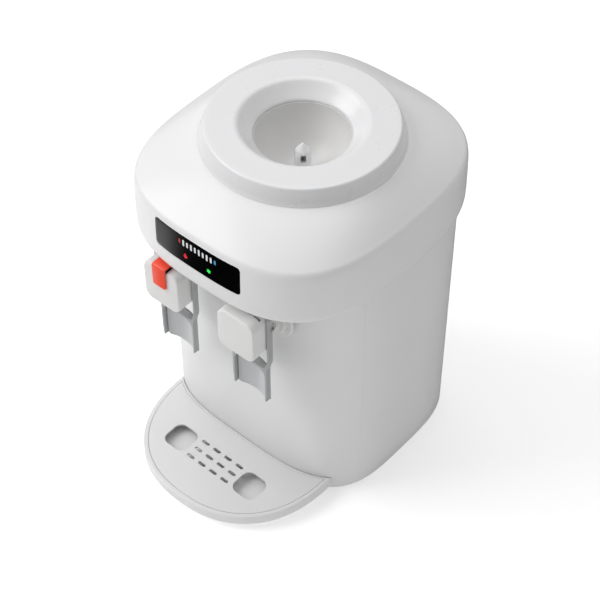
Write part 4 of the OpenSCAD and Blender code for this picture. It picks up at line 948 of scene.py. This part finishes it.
def math_node(nodes, links, operation, first, second):
    node = nodes.new("ShaderNodeMath")
    node.operation = operation
    links.new(first, node.inputs[0])
    links.new(second, node.inputs[1])
    return node.outputs["Value"]


def make_world():
    """Soft light all round. Below the horizon it is dark, but for a pale patch far to the left."""
    world = bpy.data.worlds.new("studio")
    bpy.context.scene.world = world
    world.use_nodes = True
    nodes, links = world.node_tree.nodes, world.node_tree.links
    background = nodes["Background"]
    background.inputs["Color"].default_value = (1, 1, 1, 1)
    coords = nodes.new("ShaderNodeTexCoord")
    split = nodes.new("ShaderNodeSeparateXYZ")
    links.new(coords.outputs["Generated"], split.inputs["Vector"])

    def fade(axis, low, high, low_value, high_value):
        node = nodes.new("ShaderNodeMapRange")
        node.interpolation_type = "SMOOTHSTEP"
        node.inputs["From Min"].default_value = low
        node.inputs["From Max"].default_value = high
        node.inputs["To Min"].default_value = low_value
        node.inputs["To Max"].default_value = high_value
        links.new(split.outputs[axis], node.inputs["Value"])
        return node.outputs["Result"]

    above = fade("Z", -0.2, 0.0, 0, WORLD_STRENGTH)
    left = fade("X", -0.62, -0.5, PATCH_STRENGTH, 0)
    below = fade("Z", -0.5, -0.3, 1, 0)
    patch = math_node(nodes, links, "MULTIPLY", left, below)
    links.new(math_node(nodes, links, "MAXIMUM", above, patch), background.inputs["Strength"])


def make_light():
    """A large key lamp to the front left, and a larger, weaker one overhead."""
    target = (0, 0, 0.2)
    area_light("key", (-1.5, -1.1, 1.9), target, 1.6, KEY_POWER)
    area_light("top", (-0.3, 0.5, 2.4), target, 2.0, TOP_POWER)
    view = bpy.context.scene.view_settings
    view.view_transform = "Standard"
    view.look = "None"
    view.exposure = 0
    view.gamma = 1


def make_camera():
    """A long lens that looks down on the front right corner."""
    azimuth, elevation, place = math.radians(40.86), math.radians(47.14), (0.7404, -0.8368, 1.3719)
    level = math.cos(elevation)
    back = Vector((math.sin(azimuth) * level, -math.cos(azimuth) * level, math.sin(elevation)))
    right = Vector((math.cos(azimuth), math.sin(azimuth), 0))
    turn = Matrix((right, back.cross(right), back)).transposed().to_4x4()
    data = bpy.data.cameras.new("camera")
    data.sensor_width = 36
    data.lens = 100.3
    camera = bpy.data.objects.new("camera", data)
    bpy.context.scene.collection.objects.link(camera)
    camera.matrix_world = Matrix.Translation(place) @ turn
    bpy.context.scene.camera = camera


make_camera()
make_world()
make_light()
make_stage()
dress_nodes()
make_housing()
make_display()
make_marks()
make_seat_ring()
make_bowl()
make_panels()
for side, x in (("hot", -TAP_X), ("cold", TAP_X)):
    make_cover(side, x, side == "hot")
    make_nut(side, x)
    make_lever(side, x)
    make_paddle(side, x)
make_catch()
make_tray()
make_grille()

bpy.context.view_layer.update()
